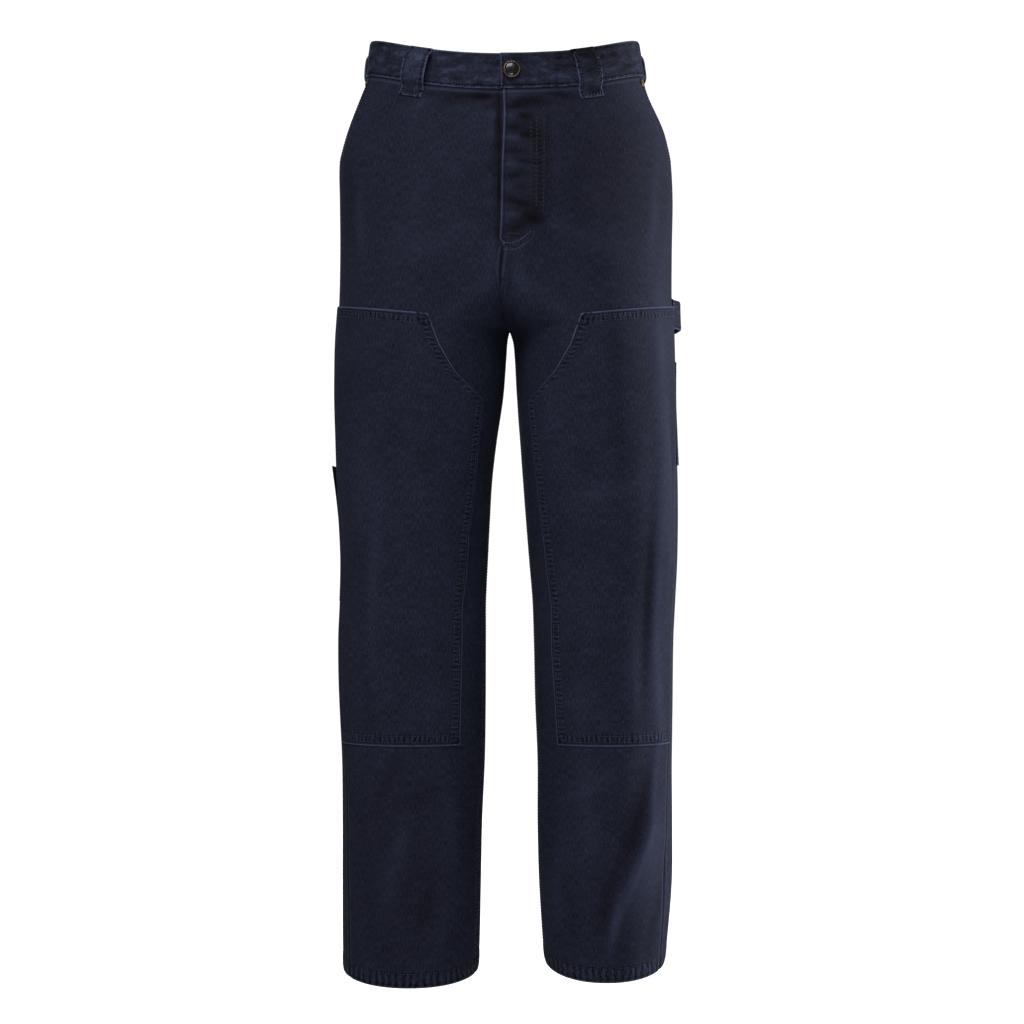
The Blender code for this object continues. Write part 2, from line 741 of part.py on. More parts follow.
def band_places():
    """Places round the waistband, from its end under the button to its end over the fly."""
    places = [(LEFT, turn) for turn in BAND_UNDER_TURNS]
    top = BAND_BOTTOM - SEAM_GAP
    for side in (RIGHT, LEFT):
        front = [turn for turn, height in front_grid(side)[0]]
        slash = front[0]
        pocket = [mix(0.0, slash, k / SLASH_STEPS) for k in range(SLASH_STEPS)]
        back = back_turns(side, top)
        if side == RIGHT:
            places += [(side, turn) for turn in reversed(front)]
            places += [(side, turn) for turn in reversed(pocket)]
            places += [(side, turn) for turn in back[1:-1]]
        else:
            places += [(side, turn) for turn in reversed(back)]
            places += [(side, turn) for turn in pocket[1:]]
            places += [(side, turn) for turn in front[:-1]]
            places += [(side, 180.0), (side, BAND_END_TURN)]
    return places


def build_waistband():
    places = band_places()
    outer = []
    inner = []
    for share in (0.0, 0.5, 1.0):
        height = mix(BAND_TOP, BAND_BOTTOM, share)
        outer_row = []
        inner_row = []
        for index, (side, turn) in enumerate(places):
            lift = 0.0
            if side == LEFT and index > len(places) / 2:
                lift = LAP_LIFT * smooth((turn - LAP_RAISED_FROM) / LAP_RAISED_OVER)
            outer_row.append(cloth_point(side, turn, height, lift + BAND_PROUD))
            inner_row.append(cloth_point(side, turn, height, lift - CLOTH))
        outer.append(outer_row)
        inner.append(inner_row)
    add_sheet("waistband", outer, inner)


def degrees_for(side, turn, height, length):
    """How many degrees of turn a short length covers."""
    step = body_point(side, turn + 1.0, height) - body_point(side, turn - 1.0, height)
    return length / (step.length / 2.0)


def place_across(side, turn):
    """Carry a turn past the centre back onto the other side."""
    if turn < -180.0:
        return -side, -360.0 - turn
    return side, turn


def build_belt_loops():
    top = LOOP_BENDS[0].height
    bottom = LOOP_BENDS[-1].height
    for name, side, top_turn, bottom_turn in BELT_LOOPS:
        half = degrees_for(side, min(max(top_turn, -178.0), 178.0), 0.0, LOOP_WIDTH / 2)
        outer = []
        inner = []
        for bend in LOOP_BENDS:
            turn = mix(top_turn, bottom_turn, (top - bend.height) / (top - bottom))
            outer_row = []
            inner_row = []
            for k in (-1, 0, 1):
                spot_side, spot_turn = place_across(side, turn + half * k)
                lift = bend.lift * MM
                inner_row.append(cloth_point(spot_side, spot_turn, bend.height * MM, lift))
                outer_row.append(cloth_point(spot_side, spot_turn, bend.height * MM, lift + STRAP_CLOTH))
            outer.append(outer_row)
            inner.append(inner_row)
        add_sheet(name, outer, inner)


def build_hammer_loop():
    """A strap from the outseam to the back of the left leg, standing off for a tool's handle."""
    start, end = HAMMER_TURNS
    outer = []
    inner = []
    for k in range(HAMMER_STEPS + 1):
        share = k / HAMMER_STEPS
        bow = smooth(share / HAMMER_RISE_SHARE) * smooth((1.0 - share) / HAMMER_RETURN_SHARE)
        lift = CLEAR + 0.3 * MM + HAMMER_BOW * bow
        turn = mix(start, end, share)
        middle = HAMMER_HEIGHT - HAMMER_FALL * share
        outer_row = []
        inner_row = []
        for offset in (HAMMER_WIDTH / 2, 0.0, -HAMMER_WIDTH / 2):
            inner_row.append(cloth_point(LEFT, turn, middle + offset, lift))
            outer_row.append(cloth_point(LEFT, turn, middle + offset, lift + STRAP_CLOTH))
        outer.append(outer_row)
        inner.append(inner_row)
    add_sheet("hammer_loop", outer, inner)


def add_turned(name, profile, base, axis, colour, roughness, metallic, sides=20):
    """A closed turned body. The profile runs from the bottom of the axis to its top, as radius and rise."""
    points = []
    faces = []
    turned = Vector((0, 0, 1)).rotation_difference(axis).to_matrix().to_4x4()
    frame = Matrix.Translation(base) @ turned
    rings = profile[1:-1]
    points.append(frame @ Vector((0, 0, profile[0][1])))
    for radius, rise in rings:
        for k in range(sides):
            angle = 2 * math.pi * k / sides
            points.append(frame @ Vector((radius * math.cos(angle), radius * math.sin(angle), rise)))
    points.append(frame @ Vector((0, 0, profile[-1][1])))
    top = len(points) - 1
    for k in range(sides):
        following = (k + 1) % sides
        faces.append((0, 1 + following, 1 + k))
        for ring in range(len(rings) - 1):
            low = 1 + ring * sides
            high = low + sides
            faces.append((low + k, low + following, high + following, high + k))
        last = 1 + (len(rings) - 1) * sides
        faces.append((last + k, last + following, top))
    return add_object(name, points, faces, colour, roughness, metallic, sharp=40.0)


def build_button():
    lift = BAND_PROUD + LAP_LIFT + CLEAR
    base = cloth_point(LEFT, BUTTON_TURN, BUTTON_HEIGHT, lift)
    axis = body_normal(LEFT, BUTTON_TURN, BUTTON_HEIGHT)
    edge = BUTTON_RADIUS
    seat = 0.72 * edge
    ring = [
        (0.0, 0.0), (3.4 * MM, 0.0), (3.0 * MM, 1.5 * MM), (0.86 * edge, 1.7 * MM), (edge, 2.5 * MM),
        (edge, 3.2 * MM), (0.93 * edge, 3.9 * MM), (0.82 * edge, 4.0 * MM), (seat + CLEAR, 3.3 * MM),
        (seat + CLEAR, 2.8 * MM), (0.0, 2.8 * MM),
    ]
    add_turned("button", ring, base, axis, BRASS_COLOUR, 0.35, 1.0)
    floor = 2.8 * MM + CLEAR
    dome = [
        (0.0, floor), (seat, floor), (seat, floor + 0.4 * MM), (0.85 * seat, floor + 1.0 * MM),
        (0.55 * seat, floor + 1.5 * MM), (0.0, floor + 1.8 * MM),
    ]
    add_turned("button_centre", dome, base, axis, DARK_COLOUR, 0.15, 0.0)


def build_rivets():
    for side, word in ((LEFT, "left"), (RIGHT, "right")):
        turn = RIVET_TURN[side]
        base = cloth_point(side, turn, RIVET_HEIGHT, CLEAR + 0.25 * MM)
        axis = body_normal(side, turn, RIVET_HEIGHT)
        size = RIVET_RADIUS
        profile = [
            (0.0, 0.0), (size, 0.0), (size, 0.5 * MM), (0.86 * size, 1.0 * MM), (0.62 * size, 1.0 * MM),
            (0.5 * size, 0.7 * MM), (0.3 * size, 1.3 * MM), (0.0, 1.6 * MM),
        ]
        add_turned("rivet_" + word, profile, base, axis, BRASS_COLOUR, 0.4, 1.0, sides=14)


for old in list(bpy.data.objects):
    bpy.data.objects.remove(old, do_unlink=True)

build_fronts()
build_fly_shield()
build_backs()
build_waistband()
build_belt_loops()
build_hammer_loop()
build_button()
build_rivets()
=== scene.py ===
# Straight double-knee carpenter jeans: cloth, sewing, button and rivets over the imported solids.
# Metres. The front faces -Y and the wearer's left is +X.
import bpy
import math
import numpy as np
from mathutils import Matrix, Vector


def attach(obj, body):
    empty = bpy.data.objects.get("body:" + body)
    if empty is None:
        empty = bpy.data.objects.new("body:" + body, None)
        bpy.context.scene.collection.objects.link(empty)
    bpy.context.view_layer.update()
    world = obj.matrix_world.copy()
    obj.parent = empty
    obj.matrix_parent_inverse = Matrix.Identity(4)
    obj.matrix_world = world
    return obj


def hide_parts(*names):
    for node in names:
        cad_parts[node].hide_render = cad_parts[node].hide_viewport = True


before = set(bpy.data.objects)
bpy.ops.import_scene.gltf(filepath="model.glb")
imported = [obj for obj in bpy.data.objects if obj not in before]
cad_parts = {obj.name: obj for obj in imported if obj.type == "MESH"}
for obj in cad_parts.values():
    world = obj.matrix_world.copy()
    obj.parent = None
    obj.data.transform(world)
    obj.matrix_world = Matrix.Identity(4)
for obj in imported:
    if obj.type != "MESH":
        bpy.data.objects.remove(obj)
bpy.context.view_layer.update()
mm = 0.001
left = 1
right = -1
words = {left: "left", right: "right"}

print("jeans: shape of the body")

# A place on the cloth has a side, a turn and a height. The turn is in degrees: 0 at the outermost point,
# 180 at the centre front or the inside of the leg, below 0 at the back.
body = {
    "bandTop": 19.0 * mm, "bandBottom": -20.0 * mm, "bandProud": 1.2 * mm,
    "lapLift": 2.8 * mm, "lapFrom": 134.0, "lapOver": 20.0,
    "frontDip": 28.0 * mm, "backRise": 8.5 * mm, "dipEnd": -0.20,
    "crotch": -0.300, "frontCurve": 0.075, "backCurve": 0.110, "thighBlend": 0.15,
    "hem": {left: -0.997, right: -1.007}, "hemDepth": 0.016,
    "hemTilt": {left: 0.25, right: 0.19}, "tiltStart": -0.80,
    "torsoSquare": 2.3, "legSquare": 2.12,
    "cloth": 1.2 * mm, "gap": 0.3 * mm, "hemCloth": 2.6 * mm, "strap": 1.8 * mm,
}

# level, right outline, left outline, front, back, in mm
outline = np.array([
    (19, -150.0, 147.0, -102, 108), (0, -152.5, 150.0, -104, 111), (-21, -155.0, 153.5, -107, 115),
    (-43, -163.0, 160.0, -111, 122), (-77, -175.5, 175.0, -116, 134), (-99, -182.0, 181.0, -118, 142),
    (-116, -185.5, 184.0, -120, 147), (-155, -185.4, 186.0, -122, 155), (-210, -185.0, 185.2, -121, 157),
    (-266, -185.8, 184.8, -117, 147), (-300, -188.0, 185.7, -114, 136), (-312, -188.6, 186.0, -113, 131),
    (-332, -189.0, 186.3, -112, 124), (-377, -189.0, 187.2, -108, 109), (-421, -187.5, 188.8, -103, 96),
    (-466, -186.0, 190.4, -97, 86), (-510, -183.8, 190.7, -91, 78), (-555, -182.0, 190.0, -85, 73),
    (-599, -183.0, 187.9, -81, 73), (-644, -185.4, 186.0, -78, 77), (-711, -185.4, 185.5, -73, 82),
    (-777, -182.6, 184.8, -69, 84), (-844, -182.2, 185.3, -65, 84), (-911, -182.2, 185.0, -62, 83),
    (-977, -182.0, 179.6, -60, 83), (-1012, -181.4, 175.5, -60, 83),
], float)

# level and where the centre seam is across, in mm
centreSeam = np.array([
    (19, -0.5), (-20, 1.0), (-55, 2.0), (-122, 0.4), (-190, -0.6), (-215, -2.6), (-240, -5.4),
    (-266, -5.6), (-285, -3.4), (-300, 4.0),
], float)

# level and the inside of the right and the left leg, in mm
insides = np.array([
    (-300, 3.8, 4.2), (-312, 1.6, 8.0), (-332, 0.2, 10.0), (-377, -3.3, 12.2), (-421, -10.0, 15.6),
    (-466, -15.2, 18.9), (-510, -17.8, 22.2), (-555, -20.0, 25.8), (-599, -22.0, 29.4),
    (-644, -22.2, 31.1), (-711, -22.4, 32.6), (-777, -23.4, 35.2), (-844, -26.4, 35.2),
    (-911, -27.8, 36.9), (-977, -29.2, 41.0), (-1012, -30.6, 44.0),
], float)

# level, and how far the side seams wander forward: right outer, right inner, left outer, left inner, in degrees
twists = np.array([
    (-300, 0, 0, 0, 0), (-400, 0, 2, 10, 1), (-490, 2, 5, 20, 3), (-600, 7, 8, 21, 5),
    (-720, 14, 12, 20, 6), (-800, 24, 15, 27, 7), (-860, 26, 17, 28, 8), (-930, 28, 17, 31, 8),
    (-1012, 30, 17, 29, 8),
], float)

# largest folds: side, turn, level, lean of the long axis, half width, half length and rise, in degrees and mm
largeFolds = [
    (left, 40, -470, 0, 13, 190, 3.0), (left, 24, -430, 0, 10, 75, -3.0),
    (left, 62, -872, -29, 14, 80, 3.6), (left, 84, -850, -29, 15, 62, -2.4),
    (left, 36, -902, -24, 12, 50, -2.2), (left, 118, -545, 76, 14, 40, -1.8),
    (left, -118, -560, 74, 11, 48, -3.4), (left, -96, -590, 84, 10, 42, 2.6),
    (left, -128, -622, -78, 12, 44, -2.8), (left, -132, -338, 58, 13, 52, -3.6),
    (left, -104, -372, 66, 12, 50, -2.8), (left, -90, -905, 60, 14, 60, -3.0),
    (left, -120, -950, 72, 12, 46, 2.4), (right, 52, -468, 3, 18, 160, 1.8),
    (right, 112, -600, -70, 15, 44, -1.6), (right, 70, -905, -20, 18, 70, 2.2),
    (right, 104, -880, -22, 16, 60, -2.0), (right, -116, -552, 78, 11, 50, -3.2),
    (right, -94, -584, 70, 10, 40, 2.4), (right, -126, -612, -82, 12, 46, -3.0),
    (right, -130, -342, 54, 13, 50, -3.4), (right, -102, -380, 70, 12, 46, -2.6),
    (right, -94, -890, 66, 14, 56, -2.8), (right, -122, -940, 80, 12, 44, 2.2),
]

# creases of the front and of the back: across, level, lean from upright, half width, half length, rise, in mm
frontCreases = [
    (9, -58, 88, 3.4, 11, 1.9), (10, -68, 84, 3.4, 12, -2.2), (8, -79, 92, 3.4, 13, 2.0),
    (11, -91, 86, 4, 13, -2.3), (8, -103, 90, 3.4, 13, 2.0), (10, -117, 95, 4, 13, -2.2),
    (7, -131, 88, 3.4, 11, 1.9), (10, -143, 84, 3.4, 14, -2.1), (8, -156, 90, 3.4, 12, 1.9),
    (9, -170, 97, 4, 14, -2.1), (11, -185, 92, 3.4, 13, 1.8), (10, -199, 80, 4.2, 14, -2.0),
    (-22, -56, 70, 3.6, 12, -1.5), (-40, -52, 84, 3.4, 13, 1.3), (-14, -66, 60, 3.6, 10, -1.4),
    (-56, -57, 76, 4, 14, -1.2), (-14, -96, 70, 3.6, 9, 1.1), (-13, -132, 76, 3.6, 9, -1.1),
    (-15, -172, 80, 4, 10, 1.0), (-78, -53, 82, 4, 12, -1.0), (30, -66, 84, 6, 18, -1.0),
    (33, -120, 4, 4, 40, 0.7), (45, -120, 2, 5, 50, -0.7), (26, -186, 60, 7, 16, -1.4),
    (-30, -54, 86, 4, 16, -1.0), (-60, -50, 92, 4, 14, 0.8), (-48, -60, 80, 5, 20, -0.8),
    (62, -56, 95, 5, 16, -0.8), (-90, -62, 60, 5, 22, 0.8), (-12, -78, 88, 4, 8, 0.8),
    (-12, -112, 84, 4, 9, -0.7), (-11, -150, 92, 4, 8, 0.7), (-18, -290, 62, 9, 34, 0.3),
    (-34, -270, 58, 9, 40, 0.7), (24, -292, -60, 9, 34, 0.3), (40, -272, -56, 9, 40, 0.7),
    (-70, -212, 66, 12, 44, 0.7), (76, -206, -64, 12, 44, 0.7), (-16, -235, 12, 7, 30, 0.8),
    (16, -248, -8, 7, 26, 0.7), (-142, -560, 4, 7, 90, 0.9), (-150, -700, -3, 6, 60, -0.8),
    (-118, -880, 12, 9, 60, 1.0), (-88, -935, 16, 8, 40, -0.9), (-60, -840, -8, 9, 60, 0.8),
    (-132, -800, 24, 8, 40, -1.0), (-96, -815, 70, 9, 34, -0.8), (-70, -960, 10, 8, 26, 0.8),
    (159, -812, 6, 4.5, 46, 1.8), (141, -892, 20, 4.5, 54, 2.2), (119, -948, 8, 4.5, 32, 1.8),
    (147, -825, 8, 9, 50, -1.3), (127, -884, 20, 9, 46, -1.3), (104, -945, 12, 9, 34, -1.2),
    (157, -890, 16, 12, 60, 1.4), (92, -800, 60, 9, 34, 0.8), (162, -560, 2, 6, 120, 1.8),
    (152, -600, 3, 6, 110, -1.4), (163, -700, -3, 6, 60, 1.6), (138, -690, -4, 8, 70, 0.9),
    (163, -330, 0, 6, 60, 1.2), (92, -840, -7, 10, 70, 0.6), (158, -962, 10, 6, 26, -0.9),
    (70, -930, -12, 8, 40, -0.8), (160, -170, 3, 6, 50, 1.0), (-158, -180, -3, 6, 50, 0.8),
    (56, -905, 4, 8, 50, 0.8), (110, -480, 78, 10, 40, 0.6),
]
backCreases = [
    (60, -200, 30, 12, 50, 1.6), (-62, -205, -32, 12, 48, 1.6), (30, -262, 52, 9, 40, -2.2),
    (-34, -258, -50, 9, 42, -2.2), (52, -300, 66, 8, 44, 1.8), (-56, -304, -64, 8, 42, 1.8),
    (96, -560, 82, 7, 36, -1.4), (-98, -552, -84, 7, 38, -1.4), (110, -630, 74, 8, 34, 1.2),
    (-112, -640, -76, 8, 32, 1.2), (84, -860, 20, 9, 60, 1.0), (-88, -850, -16, 9, 60, 1.0),
    (120, -930, 30, 8, 40, -1.2), (-124, -920, -34, 8, 40, -1.2),
]

# painted shade on the front, such as under the band, beside the fly, at the crotch and down the shins: across,
# level, half width, half height in mm, and how dark
paintedShadePlaces = [
    (24, -61, 20, 6, 0.75), (-22, -57, 12, 3.5, 0.6), (-46, -56, 12, 3, 0.5), (17, -78, 10, 5, 0.8),
    (20, -99, 9, 5, 0.8), (36, -110, 10, 24, 0.5), (15, -155, 9, 4, 0.8), (18, -127, 8, 4, 0.7),
    (19, -173, 9, 4, 0.7), (32, -190, 9, 6, 0.8), (24, -184, 12, 9, 0.5), (36, -158, 9, 20, 0.4),
    (28, -88, 12, 16, 0.4), (-6.9, -88, 2.8, 48, 1.0), (-7.4, -158, 2.8, 34, 0.9),
    (-8.2, -205, 2.6, 16, 0.6), (-27, -55, 14, 4, 0.6), (-66, -52, 18, 3, 0.5), (60, -54, 12, 4, 0.5),
    (96, -52, 14, 3, 0.4), (-105, -50, 16, 3, 0.4), (8, -290, 4, 12, 0.25), (12, -206, 8, 3, 0.7),
    (30, -128, 6, 2.5, 0.5), (33, -171, 6, 2.5, 0.5), (4, -245, 3, 14, 0.3), (95, -8, 64, 18, 0.7),
    (112, -135, 62, 84, 0.36), (-105, -890, 80, 130, 0.25), (70, -860, 40, 110, 0.1),
]


def smooth(value):
    t = np.clip(value, 0.0, 1.0)
    return t * t * (3.0 - 2.0 * t)


def mix(start, end, share):
    return start + (end - start) * share


def curveOf(rows, column):  # a smooth curve down one column of a table
    levels = rows[:, 0]
    values = rows[:, column]
    last = len(rows) - 1
    before = np.maximum(np.arange(last + 1) - 1, 0)
    after = np.minimum(np.arange(last + 1) + 1, last)
    slopes = (values[after] - values[before]) / (levels[after] - levels[before])

    def read(height):
        level = np.clip(np.asarray(height, float) / mm, levels[-1], levels[0])
        low = np.clip(np.searchsorted(-levels, -level, side="right") - 1, 0, last - 1)
        span = levels[low + 1] - levels[low]
        t = (level - levels[low]) / span
        rising = smooth(t)
        bend = t * (1 - t) ** 2 * span * slopes[low] + t * t * (t - 1) * span * slopes[low + 1]
        return values[low] * (1 - rising) + values[low + 1] * rising + bend

    return read


rightOuter, leftOuter, frontDepth, backDepth = (curveOf(outline, k) for k in (1, 2, 3, 4))
centreAcross = curveOf(centreSeam, 1)
rightInner, leftInner = curveOf(insides, 1), curveOf(insides, 2)
twistOf = {right: (curveOf(twists, 1), curveOf(twists, 2)), left: (curveOf(twists, 3), curveOf(twists, 4))}


def rounded(angle, squareness):
    power = 2.0 / squareness
    cosine = np.cos(angle)
    sine = np.sin(angle)
    return np.sign(cosine) * np.abs(cosine) ** power, np.sign(sine) * np.abs(sine) ** power


def roundedDepth(share, squareness):
    return np.maximum(0.0, 1.0 - np.minimum(np.abs(share), 1.0) ** squareness) ** (1.0 / squareness)


def seamShare(height, curve):  # how far the centre seam has turned under
    t = np.clip((height - body["crotch"]) / curve, 0.0, 1.0)
    return 1.0 - np.sqrt(np.maximum(0.0, 1.0 - (1.0 - t) ** 2))


def bodyPoint(side, turn, height):
    side, turn, height = np.broadcast_arrays(np.asarray(side, float), turn, height)
    leftSide = side > 0
    outer = np.where(leftSide, leftOuter(height), rightOuter(height)) * mm
    legInner = np.where(leftSide, leftInner(height), rightInner(height))
    inner = np.where(height >= body["crotch"], centreAcross(height), legInner) * mm
    front = frontDepth(height) * mm
    back = backDepth(height) * mm
    middle = (front + back) / 2
    reach = (back - front) / 2
    legMiddle = (outer + inner) / 2
    legHalf = (outer - inner) / 2
    legCos, legSin = rounded(np.radians(turn), body["legSquare"])
    torsoCos, torsoSin = rounded(np.radians(turn / 2), body["torsoSquare"])
    legX = legMiddle + legHalf * legCos
    legY = middle - reach * legSin
    torsoX = inner + (outer - inner) * torsoCos
    torsoY = middle - reach * torsoSin
    thigh = smooth((body["crotch"] + body["thighBlend"] - height) / body["thighBlend"])
    under = np.where(turn > 0, seamShare(height, body["frontCurve"]), seamShare(height, body["backCurve"]))
    across = mix(torsoX, legX, thigh)
    torsoDepth = roundedDepth((across - inner) / (outer - inner), body["torsoSquare"])
    legDepth = roundedDepth((across - legMiddle) / legHalf, body["legSquare"])
    outward = smooth(((across - inner) / legHalf - 0.25) / 0.75)
    depth = mix(torsoDepth, legDepth, mix(under, thigh, outward))
    blendY = middle - np.copysign(reach * depth, turn)
    isLeg = height <= body["crotch"]
    isTorso = (height >= body["crotch"] + body["thighBlend"]) | (np.abs(turn) > 180.0)
    x = np.where(isLeg, legX, np.where(isTorso, torsoX, across))
    y = np.where(isLeg, legY, np.where(isTorso, torsoY, blendY))
    dip = np.sin(np.radians(turn / 2)) ** 2 * np.where(turn > 0, -body["frontDip"], body["backRise"])
    dip = dip * smooth((height - body["dipEnd"]) / (body["bandBottom"] - body["dipEnd"]))
    hem = np.where(leftSide, body["hem"][left], body["hem"][right])
    tilt = np.where(leftSide, body["hemTilt"][left], body["hemTilt"][right])
    tilt = tilt * smooth((body["tiltStart"] - height) / (body["tiltStart"] - hem))
    return np.stack([x, y, height + dip + tilt * (y - middle)], axis=-1)


def bodyNormal(side, turn, height):
    side, turn, height = np.broadcast_arrays(np.asarray(side, float), turn, height)
    crotch = body["crotch"]
    seam = (height >= crotch - 0.5 * mm) & (height < crotch + body["backCurve"]) & (np.abs(turn) <= 180.0)
    ahead = np.where(seam, np.minimum(turn + 0.5, 180.0), turn + 0.5)
    behind = np.where(seam, np.maximum(turn - 0.5, -180.0), turn - 0.5)
    low = (height >= crotch) & (height - 1.0 * mm < crotch)
    up = np.where(low, height + 0.4 * mm, height + 1.0 * mm)
    down = np.where(low, height, height - 1.0 * mm)
    roundWay = bodyPoint(side, ahead, height) - bodyPoint(side, behind, height)
    upWay = bodyPoint(side, turn, up) - bodyPoint(side, turn, down)
    normal = np.cross(upWay, roundWay) * side[..., None]
    return normal / np.linalg.norm(normal, axis=-1, keepdims=True)


def foldRise(side, turn, height):
    side, turn, height = np.broadcast_arrays(np.asarray(side, float), turn, height)
    total = np.zeros(turn.shape)
    for foldSide, foldTurn, level, lean, width, reach, rise in largeFolds:
        degrees = turn - foldTurn
        degrees = np.where(height < body["crotch"], (degrees + 180.0) % 360.0 - 180.0, degrees)
        around = degrees * 1.5
        along = height / mm - level
        angle = math.radians(lean)
        length = along * math.cos(angle) + around * math.sin(angle)
        across = around * math.cos(angle) - along * math.sin(angle)
        total += np.where(side == foldSide, rise * np.exp(-(across / width) ** 2 - (length / reach) ** 2), 0.0)
    fade = np.where(height > body["crotch"], smooth(np.abs(np.abs(turn) - 180.0) / 25.0), 1.0)
    return total * fade * mm


# painted shade: the share of the listed shade places at each point of the front
def paintedShadeShare(turn, points):
    total = np.zeros(turn.shape)
    for across, level, width, reach, share in paintedShadePlaces:
        dx = (points[..., 0] / mm - across) / width
        dz = (points[..., 2] / mm - level) / reach
        total += np.where(turn > 20.0, share * np.exp(-dx * dx - dz * dz), 0.0)
    return total


def creaseRise(turn, height, points, normals):
    total = np.zeros(turn.shape)
    seam = (1.0 - smooth((180.0 - np.abs(turn)) / 10.0)) * smooth((-0.212 - height) / 0.02)
    for creases, facing in ((frontCreases, -normals[..., 1]), (backCreases, normals[..., 1])):
        fade = smooth((facing - 0.15) / 0.3) * (1.0 - seam)  # none at the seams, where two panels must meet
        for across, level, lean, width, reach, rise in creases:
            angle = math.radians(lean)
            dx = points[..., 0] / mm - across
            dz = points[..., 2] / mm - level
            length = dz * math.cos(angle) + dx * math.sin(angle)
            away = dx * math.cos(angle) - dz * math.sin(angle)
            total += fade * rise * np.exp(-(away / width) ** 2 - (length / reach) ** 2)
    return total * mm


def layGrid(side, turn, height, lift=0.0):  # a grid of places as points, ways out and lengths along the cloth
    side, turn, height, lift = np.broadcast_arrays(np.asarray(side, float), turn, height, lift)
    flat = bodyPoint(side, turn, height)
    normals = bodyNormal(side, turn, height)
    folds, creases = foldRise(side, turn, height), creaseRise(turn, height, flat, normals)
    points = flat + normals * (folds + creases + lift)[..., None]
    across = np.zeros(turn.shape)
    across[:, 1:] = np.cumsum(np.linalg.norm(np.diff(points, axis=1), axis=-1), axis=1)
    down = np.zeros(turn.shape)
    down[1:] = np.cumsum(np.linalg.norm(np.diff(points, axis=0), axis=-1), axis=0)
    # relief of folds and creases, painted later as highlight on rises and as shade in hollows
    relief = np.clip(folds / (12.0 * mm) + creases / (1.9 * mm), -1.5, 1.5)
    # dark holds the painted shade of the listed shade places
    return {"points": points, "normals": normals, "across": across, "down": down, "relief": relief,
            "dark": paintedShadeShare(turn, flat), "height": height, "side": side, "turn": turn}


def edgeDistances(grid):
    across, down = grid["across"], grid["down"]
    return {"first": across, "last": across[:, -1:] - across, "top": down, "bottom": down[-1:] - down}


def shapeEdges(grid, depth, reach=1.8 * mm):  # turns the named edges in, by a depth for each
    distance = edgeDistances(grid)
    normals = grid["normals"].copy()
    centre = (grid["height"] > body["crotch"] - 1 * mm) & (np.abs(grid["turn"]) > 150.0)
    normals[..., 0] = np.where(centre, 0.0, normals[..., 0])  # both sides of the centre seam turn in together
    for edge, amount in depth.items():
        grid["points"] = grid["points"] - normals * (amount * np.exp(-(distance[edge] / reach) ** 2))[..., None]


def meetEnds(grid, first=True, last=True):  # runs the rows on a little, so that no light shows through a seam
    points = grid["points"]
    for used, end, near in ((first, 0, 1), (last, -1, -2)):
        if used:
            way = points[:, end] - points[:, near]
            points[:, end] += way / np.linalg.norm(way, axis=-1, keepdims=True) * (body["gap"] / 2)


def splitRows(levels, first, last, step):  # row positions no further apart than a step
    out = []
    for k in range(first, last):
        count = max(1, math.ceil(abs(levels[k + 1] - levels[k]) / step))
        out += [k + i / count for i in range(count)]
    return np.array(out + [last], float)


def splitColumns(first, last, parts, close=()):  # column positions, with more of them close to the ends
    out = list(np.linspace(first, last, (last - first) * parts + 1))
    for k in close:
        out += [first + k, last - k]
    return np.unique(np.round(out, 5))


def through(values, steps):  # a smooth line through a short list
    values = np.array(values, float)
    t = np.linspace(0, len(values) - 1, (len(values) - 1) * steps + 1)
    k = np.clip(t.astype(int), 0, len(values) - 2)
    f = t - k
    slopes = np.gradient(values)
    rising = smooth(f)
    bend = f * (1 - f) ** 2 * slopes[k] + f * f * (f - 1) * slopes[k + 1]
    return values[k] * (1 - rising) + values[k + 1] * rising + bend


print("jeans: finishes")


def socket(group, name, kind, way="INPUT", value=None):
    made = group.interface.new_socket(name=name, in_out=way, socket_type=kind)
    if value is not None:
        made.default_value = value


def addNode(tree, kind, at, **values):
    node = tree.nodes.new(kind)
    node.location = at
    for key, value in values.items():
        setattr(node, key, value)
    return node


def calc(tree, operation, a, b=None, c=None, clamp=False):
    node = tree.nodes.new("ShaderNodeMath")
    node.operation = operation
    node.use_clamp = clamp
    for k, value in enumerate((a, b, c)):
        if value is None:
            continue
        if isinstance(value, (int, float)):
            node.inputs[k].default_value = value
        else:
            tree.links.new(value, node.inputs[k])
    return node.outputs[0]


def stretched(tree, vector, scale, detail=2.0, roughness=0.5):  # noise over stretched places
    sized = addNode(tree, "ShaderNodeVectorMath", (-600, 0), operation="MULTIPLY")
    tree.links.new(vector, sized.inputs[0])
    sized.inputs[1].default_value = scale
    noise = addNode(tree, "ShaderNodeTexNoise", (-400, 0))
    noise.inputs["Scale"].default_value = 1.0
    noise.inputs["Detail"].default_value = detail
    noise.inputs["Roughness"].default_value = roughness
    tree.links.new(sized.outputs[0], noise.inputs["Vector"])
    return noise.outputs["Fac"]


def bell(tree, distance, centre, width):  # 1 on a line at a distance from an edge, fading out either side
    away = calc(tree, "SUBTRACT", distance, centre)
    share = calc(tree, "DIVIDE", away, width)
    return calc(tree, "EXPONENT", calc(tree, "MULTIPLY", calc(tree, "MULTIPLY", share, share), -1.0))


